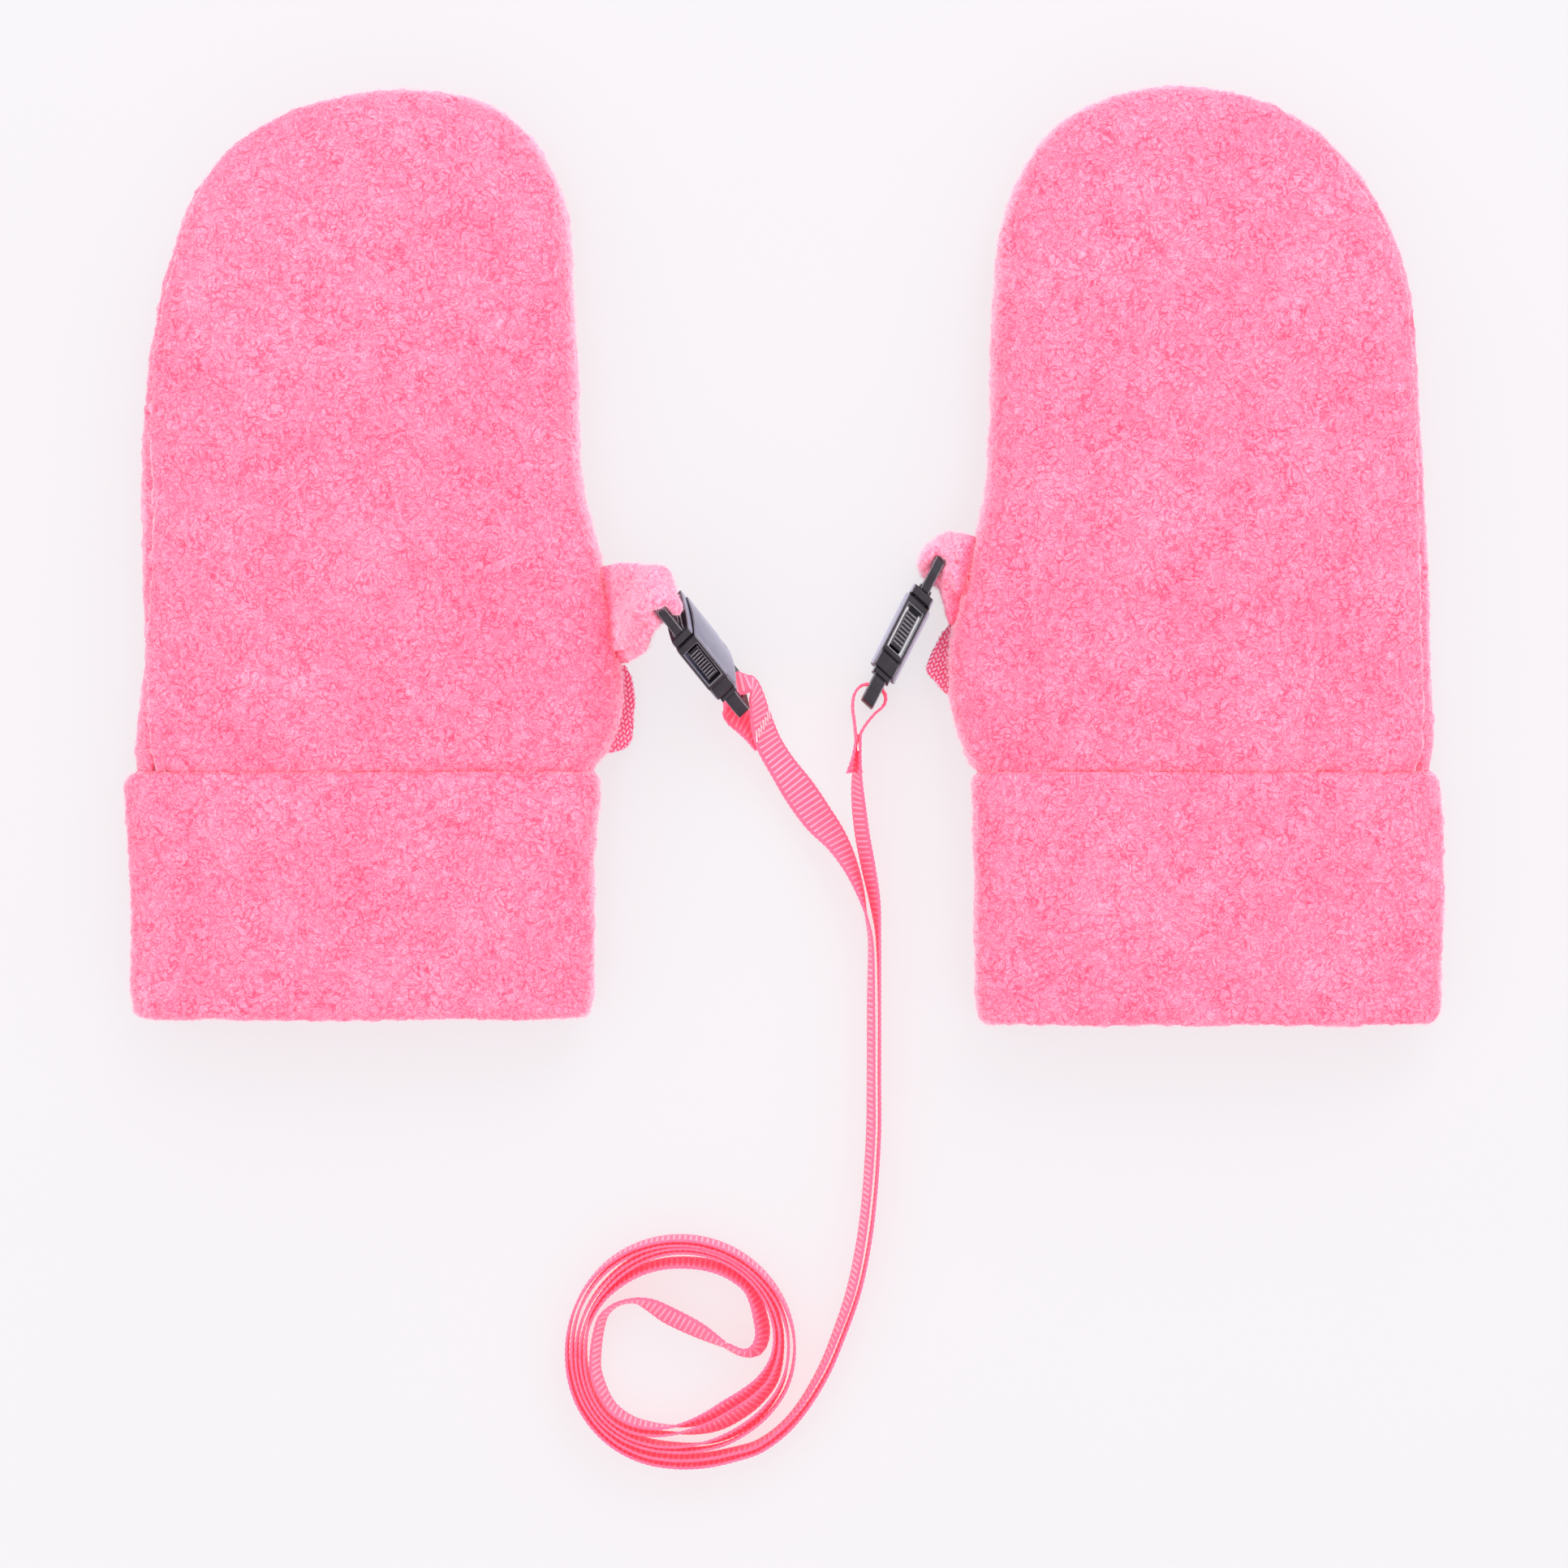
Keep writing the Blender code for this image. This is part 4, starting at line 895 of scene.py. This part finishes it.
def moulded(block):
    """One block of a clip in its own axes, its hole cut, its edges eased and marked for a painted highlight.
    """
    work, worn, gloss = marked_work()
    middle = Vector(((block.start + block.end) / 2.0, block.across, block.off))
    size = Matrix.Diagonal((block.end - block.start, block.width, block.thick, 1.0))
    bmesh.ops.create_cube(work, size=1.0, matrix=Matrix.Translation(middle) @ size)

    def at_corner(edge):
        run = edge.verts[0].co - edge.verts[1].co
        return abs(run.z) > abs(run.x) + abs(run.y)

    bevelled(work, [edge for edge in work.edges if at_corner(edge)], block.corner, 4)
    if block.hole is not None:
        through_way, side_way = ("Y", "Z") if block.hole.axis == "Y" else ("Z", "Y")
        axes = {"X": 0, "Y": 1, "Z": 2}
        low, high = (block.hole.middle + side * block.hole.size / 2.0 for side in (-1.0, 1.0))
        bounds = (("X", block.hole.start), ("X", block.hole.end), (side_way, low), (side_way, high))
        for way, at in bounds:
            normal = Vector((0.0, 0.0, 0.0))
            normal[axes[way]] = 1.0
            sliced(work, normal * at, normal)

        def in_hole(face):
            centre = face.calc_center_median()
            faces_through = abs(face.normal[axes[through_way]]) > 0.9
            return (
                faces_through
                and block.hole.start < centre.x < block.hole.end
                and low < centre[axes[side_way]] < high
            )

        work.normal_update()
        bmesh.ops.delete(work, geom=[face for face in work.faces if in_hole(face)], context="FACES")
        bmesh.ops.bridge_loops(work, edges=[edge for edge in work.edges if edge.is_boundary])
    work.normal_update()
    sharp = [edge for edge in work.edges if len(edge.link_faces) == 2 and edge.calc_face_angle() > SHARP]
    eased = bevelled(work, sharp, EDGE_EASE, 2, clamp_overlap=True)
    # Painted highlight along the eased edges.
    for face in eased["faces"]:
        face[worn] = 1.0
    work.normal_update()
    for face in work.faces:
        if abs(face.normal.z) > 0.9 and block.bulge > 0.0:
            face[gloss] = 1.0
    if block.bulge > 0.0:
        half = block.width / 2.0
        for share in BULGE_CUTS:
            sliced(work, (0.0, half * share, 0.0), (0.0, 1.0, 0.0))
        for vert in work.verts:
            rise = block.bulge * (1.0 - min(abs(vert.co.y) / half, 1.0) ** 2)
            vert.co.z += math.copysign(rise, block.off or vert.co.z) * min(abs(vert.co.z) / BULGE_FULL, 1.0)
    return work


def ridges(across):
    """The ridges of one squeeze button."""
    work, worn, _ = marked_work()
    for index in range(RIDGES):
        along = RIDGE_START + index * RIDGE_PITCH
        middle = Vector((along, across + math.copysign(RIDGE_OUT, across), 0.04))
        size = Matrix.Diagonal((0.30, 0.44, 1.8, 1.0))
        made = bmesh.ops.create_cube(work, size=1.0, matrix=Matrix.Translation(middle) @ size)
        edges = dict.fromkeys(edge for vert in made["verts"] for edge in vert.link_edges)
        bevelled(work, list(edges), RIDGE_EASE, 2)
    work.normal_update()
    # Painted highlight on the ridges' faces along the clip's width, which look up and down.
    for face in work.faces:
        if abs(face.normal.y) > 0.4:
            face[worn] = 0.85
    return work


def clip_half(name, node, works, clip, material, polished):
    """Joins the blocks of one half of a clip, and lays them where the clip lies."""
    whole, _, _ = marked_work()
    for work in works:
        mesh = bpy.data.meshes.new("block")
        work.to_mesh(mesh)
        work.free()
        whole.from_mesh(mesh)
        bpy.data.meshes.remove(mesh)
    slant = Matrix.Identity(4)
    slant[0][2] = -SLANT
    outer = Matrix.Diagonal((1.0, 1.0, clip.outer_face, 1.0))
    laid = clip_matrix(clip) @ Matrix.Scale(MM, 4) @ outer @ slant
    bmesh.ops.transform(whole, matrix=laid, verts=whole.verts)
    bmesh.ops.recalc_face_normals(whole, faces=whole.faces)
    gloss = whole.faces.layers.float["gloss"]
    for face in whole.faces:
        face.smooth = face[gloss] > 0.5
    mesh = bpy.data.meshes.new(name)
    whole.to_mesh(mesh)
    whole.free()
    piece = placed(name, mesh, material)
    piece.data.materials.append(polished)
    for polygon in piece.data.polygons:
        polygon.material_index = int(polygon.use_smooth)
    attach(piece, "root")
    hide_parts(node)


def clip_finish(settings):
    finish = Finish("charcoal plastic", Specular_IOR_Level=0.35)
    place = finish.place()
    grain = finish.noise(place, settings.grain, 2.0, 0.6)
    streak = finish.noise(place, 0.003, 3.0)
    # Painted highlight along the eased edges, broken up by the grain.
    worn = finish.maths("MULTIPLY", finish.attribute("worn"), finish.plus(-0.1, grain, 1.4))
    dark, light = ([c * share for c in settings.plastic] for share in (0.7, 1.35))
    shade = finish.blend(worn, finish.ramp(streak, ((0.35, dark), (0.7, light))), (*settings.worn, 1.0))
    rough = finish.plus(0.34, grain, 0.16)
    return finish.finished(shade, Roughness=rough, Normal=finish.bump(grain, 0.00003, 0.7))


def polished_finish(settings):
    """The clips' domed faces: the same plastic, polished, and painted a lighter lilac grey as a painted
    reflection.
    """
    finish = Finish(
        "polished charcoal plastic", Specular_IOR_Level=0.3, Roughness=0.3, Coat_Weight=0.6, Coat_IOR=1.6,
        Coat_Roughness=0.15, Sheen_Weight=0.5, Sheen_Roughness=0.3, Sheen_Tint=(0.62, 0.62, 1.0, 1.0),
    )
    place = finish.place()
    streak = finish.noise(place, 0.003, 3.0)
    grain = finish.noise(place, settings.grain * 2.0, 2.0)
    # Painted reflection: a lilac grey in place of the dark plastic, with streaks at random.
    shade = finish.ramp(streak, ((0.35, [c * 0.8 for c in settings.dome_reflection]), (0.7, settings.dome_reflection)))
    return finish.finished(shade, Normal=finish.bump(grain, 0.000012, 0.5))


# ---- knitted tapes ------------------------------------------------------------------------------

STITCH_RISE = 0.00030   # from the gaps between the stitches to their tops
STITCH_SINK = 0.0001    # how far the gaps lie under the solid's face


def knit_height(along, across, pitch):
    """Height of a knitted face, 0 to 1: columns of stitches that slant to one side and the other."""
    column = across / (pitch * 0.7)
    side = column - math.floor(column)
    slant = (-1.0) ** math.floor(column)
    round_yarn = 0.5 + 0.5 * math.cos(2.0 * math.pi * (along / pitch + slant * side * 0.6))
    return round_yarn * math.sin(math.pi * side)


def tape_piece(side, turned, settings, material):
    node = f"{side}_seam_tape"
    mesh = cloth_mesh(welded(node), 0.00013, softening=8, rounding=0)
    places, normals = columns(mesh, "co"), columns(mesh, "normal")
    angle = math.radians(turned)
    across = places[:, 0] * math.cos(angle) + places[:, 1] * math.sin(angle)
    along = -places[:, 0] * math.sin(angle) + places[:, 1] * math.cos(angle)
    knit = np.array([knit_height(a, b, settings.knit) for a, b in zip(along, across)])
    places = places + normals * (knit * STITCH_RISE - STITCH_SINK)[:, None]
    mesh.vertices.foreach_set("co", places.ravel())
    mark(mesh, "knit", knit)
    mesh.update()
    mesh.shade_smooth()
    made = placed(f"{side}_knitted_tape", mesh, material)
    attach(made, "root")
    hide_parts(node)


def tape_finish(settings):
    finish = Finish(
        "rose knitted tape", Roughness=0.85, Sheen_Weight=0.3, Sheen_Roughness=0.5,
        Sheen_Tint=(1.0, 0.85, 0.95, 1.0),
    )
    place = finish.place()
    thread = finish.noise(place, 0.00012, 2.0, 0.6)
    tone = finish.noise(place, 0.004, 2.0)
    knit = finish.plus(finish.attribute("knit"), thread, 0.3)
    knit = finish.plus(knit, tone, 0.2)
    # Painted highlight on the stitches' tops, fading to the gaps' colour between them, from the knit's
    # height.
    shade = finish.ramp(knit, ((0.28, settings.gap), (0.85, settings.yarn_highlight)))
    return finish.finished(shade, Normal=finish.bump(thread, 0.00006, 0.8))


# ---- sewing -------------------------------------------------------------------------------------

# Bar-tacks that hold the ribbons' tails down: the place of each, how far along the ribbon it runs
# from edge to edge, how far its stitches reach to either side, how many there are, and its ends as
# shares of half the ribbon's width.
Tack = namedtuple("Tack", "x y slant reach stitches low high")
LEFT_TACK = Tack(-3.6, -26.9, 2.6, 0.62, 7, -0.95, 0.95)
RIGHT_TACK = Tack(12.2, -29.6, 0.8, 0.45, 8, -0.9, 1.04)
THREAD = 0.00024


def tube(name, points, thick, material):
    """A sewing thread through the points, as a closed tube."""
    curve = bpy.data.curves.new(name, "CURVE")
    curve.dimensions = "3D"
    curve.bevel_depth = thick / 2.0
    curve.bevel_resolution = 1
    curve.use_fill_caps = True
    spline = curve.splines.new("POLY")
    spline.points.add(len(points) - 1)
    for point, place in zip(spline.points, points):
        point.co = (*place, 1.0)
    work = bpy.data.objects.new("work", curve)
    bpy.context.scene.collection.objects.link(work)
    mesh = shaped(work)
    mesh.shade_smooth()
    piece = placed(name, mesh, material)
    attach(piece, "root")


def bar_tack(name, tack, points, leans, settings, material):
    """Zigzag stitches through a ribbon and its tail, lying on the face that looks up."""
    target = Vector((tack.x * MM, tack.y * MM))
    ways = directions(points)
    start = round(0.006 / (points[1] - points[0]).length)
    nearest = min(range(start, len(points) // 4), key=lambda i: (points[i].xy - target).length)
    step = (points[nearest + 1] - points[nearest]).length
    laid = []
    for stitch in range(2 * tack.stitches + 1):
        share = stitch / (2.0 * tack.stitches)
        along = tack.slant * (share - 0.5) + tack.reach * (-1.0) ** stitch
        index = nearest + round(along * MM / step)
        up, right = upright(ways[index])
        edge = up * math.cos(leans[index]) + right * math.sin(leans[index])
        face = ways[index].cross(edge)
        face *= math.copysign(1.0, face.z + 1e-6)
        across = (tack.low + (tack.high - tack.low) * share) * settings.width / 2.0
        laid.append(points[index] + edge * across + face * (settings.thickness / 2.0 + THREAD / 2.0))
    tube(name, laid, THREAD, material)


def thread_finish(settings):
    finish = Finish("pale sewing thread", Roughness=0.5, Sheen_Weight=0.3, Sheen_Roughness=0.4)
    tone = finish.noise(finish.place(), 0.0004, 2.0)
    paler = [(a + 2.0 * b) / 3.0 for a, b in zip(settings.face, settings.thread)]
    shade = finish.ramp(tone, ((0.35, paler), (0.65, settings.thread)))
    return finish.finished(shade)


# ---- stage --------------------------------------------------------------------------------------

SENSOR = 36.0           # width of the camera's sensor, and its lens, in millimetres
LENS = 84.9
CAMERA_Y = -0.0365
TABLE_HALF = 2.5
SKY = 1.30
Lamp = namedtuple("Lamp", "name place size power")
LAMPS = (Lamp("key", (0.25, 0.75, 0.55), 0.6, 3.0), Lamp("fill", (-0.6, 0.1, 0.8), 0.9, 0.6))

# ---- operators ----------------------------------------------------------------------------------


class MITTENS_OT_stage(bpy.types.Operator):
    """Lays a plain pale table, soft studio light and the camera above it"""

    bl_idname = "mittens.stage"
    bl_label = "Stage"

    def execute(self, context):
        settings = context.scene.mittens_stage
        scene = context.scene
        camera = bpy.data.cameras.new("camera")
        camera.sensor_width = SENSOR
        camera.lens = LENS
        camera.clip_start = 0.01
        view = bpy.data.objects.new("camera", camera)
        view.location = (0.0, CAMERA_Y, settings.height)
        scene.collection.objects.link(view)
        scene.camera = view
        finish = Finish("pale table", Roughness=0.9, Specular_IOR_Level=0.1, Emission_Strength=0.70)
        place = finish.place()
        tone = finish.noise(place, 0.05, 2.0)
        shade = finish.ramp(tone, ((0.3, [c * 0.985 for c in settings.floor]), (0.7, settings.floor)))
        material = finish.finished(shade, Emission_Color=(1.0, 0.975, 1.0, 1.0))
        work = bmesh.new()
        bmesh.ops.create_grid(work, x_segments=2, y_segments=2, size=TABLE_HALF)
        floor = placed("table", mesh_of("table", work), material)
        world = bpy.data.worlds.new("studio")
        world.use_nodes = True
        sky = world.node_tree.nodes["Background"]
        sky.inputs["Color"].default_value = (1.0, 0.985, 1.0, 1.0)
        sky.inputs["Strength"].default_value = SKY
        scene.world = world
        scene.view_settings.view_transform = "Standard"
        for lamp in LAMPS:
            area = bpy.data.lights.new(lamp.name, "AREA")
            area.size = lamp.size
            area.energy = lamp.power
            light = bpy.data.objects.new(lamp.name, area)
            light.location = lamp.place
            light.rotation_euler = (-Vector(lamp.place)).to_track_quat("-Z", "Y").to_euler()
            scene.collection.objects.link(light)
        return {"FINISHED"}


class MITTENS_OT_string(bpy.types.Operator):
    """Makes both halves of the ribbon string, from the clips into the coil"""

    bl_idname = "mittens.string"
    bl_label = "Ribbon string"

    def execute(self, context):
        settings = context.scene.mittens_ribbon
        material = ribbon_finish(settings)
        sewn = thread_finish(settings)
        halves = (
            (LEFT_CLIP, LEFT_TAIL, LEFT_TURN, LEFT_RUN, LEFT_COIL, LEFT_ACROSS),
            (RIGHT_CLIP, RIGHT_TAIL, RIGHT_TURN, RIGHT_RUN, RIGHT_COIL, RIGHT_FOLD),
        )
        held = (("string_left", "string_middle"), LEFT_TACK), (("string_right", "string_coil"), RIGHT_TACK)
        for (clip, *route), (nodes, tack) in zip(halves, held):
            rows = string_route(clip, *route)
            piece, points, leans = ribbon_piece(f"{clip.name}_ribbon", rows, settings, material)
            bar_tack(f"{clip.name}_bar_tack", tack, points, leans, settings, sewn)
            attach(piece, "root")
            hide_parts(*nodes)
        return {"FINISHED"}


class MITTENS_OT_mittens(bpy.types.Operator):
    """Covers the hands and cuffs of both mittens in fleece"""

    bl_idname = "mittens.mittens"
    bl_label = "Mittens"

    def execute(self, context):
        settings = context.scene.mittens_fleece
        finishes = fleece_finish(settings), fuzz_finish(settings)
        for seed, side in enumerate(("left", "right")):
            low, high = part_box(f"{side}_hand_back")
            seat = np.array([(low[0] + high[0]) / 2.0, (low[1] + high[1]) / 2.0, 0.0073])
            low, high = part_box(f"{side}_cuff")
            mouth = np.array([(a + b) / 2.0 for a, b in zip(low, high)])
            hand = tree_of(f"{side}_hand_front", f"{side}_hand_back")
            front, back, cuff = (tree_of(f"{side}_{part}") for part in ("hand_front", "hand_back", "cuff"))
            cuts = (
                Cut((0.084, 0.114), 0.0081, "laid", f"{side}_hand_back"),
                Cut((0.081, 0.112), 0.0078, "laid", None),
                Cut((0.162, 0.040), None, "folded", f"{side}_hand_back"),
            )
            at_back, at_front, at_cuff, at_hand = (
                (back, *SIDE_SEAM), (front, *SIDE_SEAM), (cuff, *WRIST_SEAM), (hand, *WRIST_SEAM)
            )
            pieces = (
                ClothRow("front", "hand_front", seat, 0.00045, (at_back, at_cuff), 10500),
                ClothRow("back", "hand_back", seat, 0.0007, (at_front, at_cuff), 3000),
                ClothRow("cuff", "cuff", mouth, 0.00045, (at_hand,), 8000),
            )
            for number, (cloth, cut) in enumerate(zip(pieces, cuts)):
                node = f"{side}_{cloth.part}"
                mesh = plainer_inside(cloth_mesh(welded(node), cloth.voxel), cloth.middle)
                weight = add_nap(mesh, cloth.middle, settings, cloth.neighbours)
                name = f"{side}_mitten_{cloth.label}"
                fleece_finished(name, mesh, node, finishes, weight, cloth.fibres, 10 * seed + number)
        return {"FINISHED"}


class MITTENS_OT_loops(bpy.types.Operator):
    """Makes the fleece loops that hold the clips"""

    bl_idname = "mittens.loops"
    bl_label = "Fleece loops"

    def execute(self, context):
        settings = context.scene.mittens_fleece
        finishes = bpy.data.materials["pink fleece"], bpy.data.materials["pale fleece fibres"]
        sides = (
            (LEFT_CLIP, LEFT_PADS, Cut((0.0144, 0.034), 0.00036, "folded", "left_clip_plug")),
            (RIGHT_CLIP, RIGHT_PADS, Cut((0.0102, 0.023), 0.00020, "folded", "right_clip_plug")),
        )
        for seed, (buckle, pads, flat_cut) in enumerate(sides):
            side = buckle.name
            node = f"{side}_fleece_loop"
            mesh = cloth_mesh(padded_loop(node, buckle, pads), 0.00028, softening=18)
            hand = tree_of(f"{side}_hand_front", f"{side}_hand_back")
            clip = tree_of(f"{side}_clip_plug", f"{side}_clip_socket")
            neighbours = (clip, *AT_CLIP), (hand, *LOOP_SEAM)
            weight = add_nap(mesh, None, settings, neighbours, LOOP_PALE)
            name = f"{side}_clip_loop"
            fleece_finished(name, mesh, node, finishes, weight, LOOP_FIBRES, 50 + seed)
        return {"FINISHED"}


class MITTENS_OT_clips(bpy.types.Operator):
    """Makes both clips, each with its plug fastened in its socket"""

    bl_idname = "mittens.clips"
    bl_label = "Clips"

    def execute(self, context):
        settings = context.scene.mittens_clip
        finishes = clip_finish(settings), polished_finish(settings)
        for clip in (LEFT_CLIP, RIGHT_CLIP):
            plug = [moulded(block) for block in PLUG_BLOCKS] + [ridges(4.3), ridges(-4.3)]
            clip_half(f"{clip.name}_buckle_plug", f"{clip.name}_clip_plug", plug, clip, *finishes)
            socket = [moulded(block) for block in SOCKET_BLOCKS]
            clip_half(f"{clip.name}_buckle_socket", f"{clip.name}_clip_socket", socket, clip, *finishes)
        return {"FINISHED"}


class MITTENS_OT_tapes(bpy.types.Operator):
    """Makes the knitted tapes in the side seams"""

    bl_idname = "mittens.tapes"
    bl_label = "Seam tapes"

    def execute(self, context):
        settings = context.scene.mittens_tape
        material = tape_finish(settings)
        tape_piece("left", 8.0, settings, material)
        tape_piece("right", -24.0, settings, material)
        return {"FINISHED"}


class MITTENS_PT_panel(bpy.types.Panel):
    """Lists the pieces of the mittens"""

    bl_idname = "MITTENS_PT_panel"
    bl_label = "Baby mittens"
    bl_space_type = "VIEW_3D"
    bl_region_type = "UI"
    bl_category = "Mittens"

    def draw(self, context):
        for operator in OPERATORS:
            self.layout.operator(operator.bl_idname)


OPERATORS = (
    MITTENS_OT_stage,
    MITTENS_OT_string,
    MITTENS_OT_mittens,
    MITTENS_OT_loops,
    MITTENS_OT_clips,
    MITTENS_OT_tapes,
)
SETTINGS = {
    "mittens_fleece": FleeceSettings,
    "mittens_ribbon": RibbonSettings,
    "mittens_tape": TapeSettings,
    "mittens_clip": ClipSettings,
    "mittens_stage": StageSettings,
}


def register():
    for item in (*SETTINGS.values(), *OPERATORS, MITTENS_PT_panel):
        bpy.utils.register_class(item)
    for name, group in SETTINGS.items():
        setattr(bpy.types.Scene, name, PointerProperty(type=group))


def unregister():
    for name in SETTINGS:
        delattr(bpy.types.Scene, name)
    for item in (MITTENS_PT_panel, *OPERATORS[::-1], *SETTINGS.values()):
        bpy.utils.unregister_class(item)


def main():
    register()
    bpy.ops.mittens.stage()
    bpy.ops.mittens.string()
    bpy.ops.mittens.mittens()
    bpy.ops.mittens.loops()
    bpy.ops.mittens.clips()
    bpy.ops.mittens.tapes()


if __name__ == "__main__":
    main()
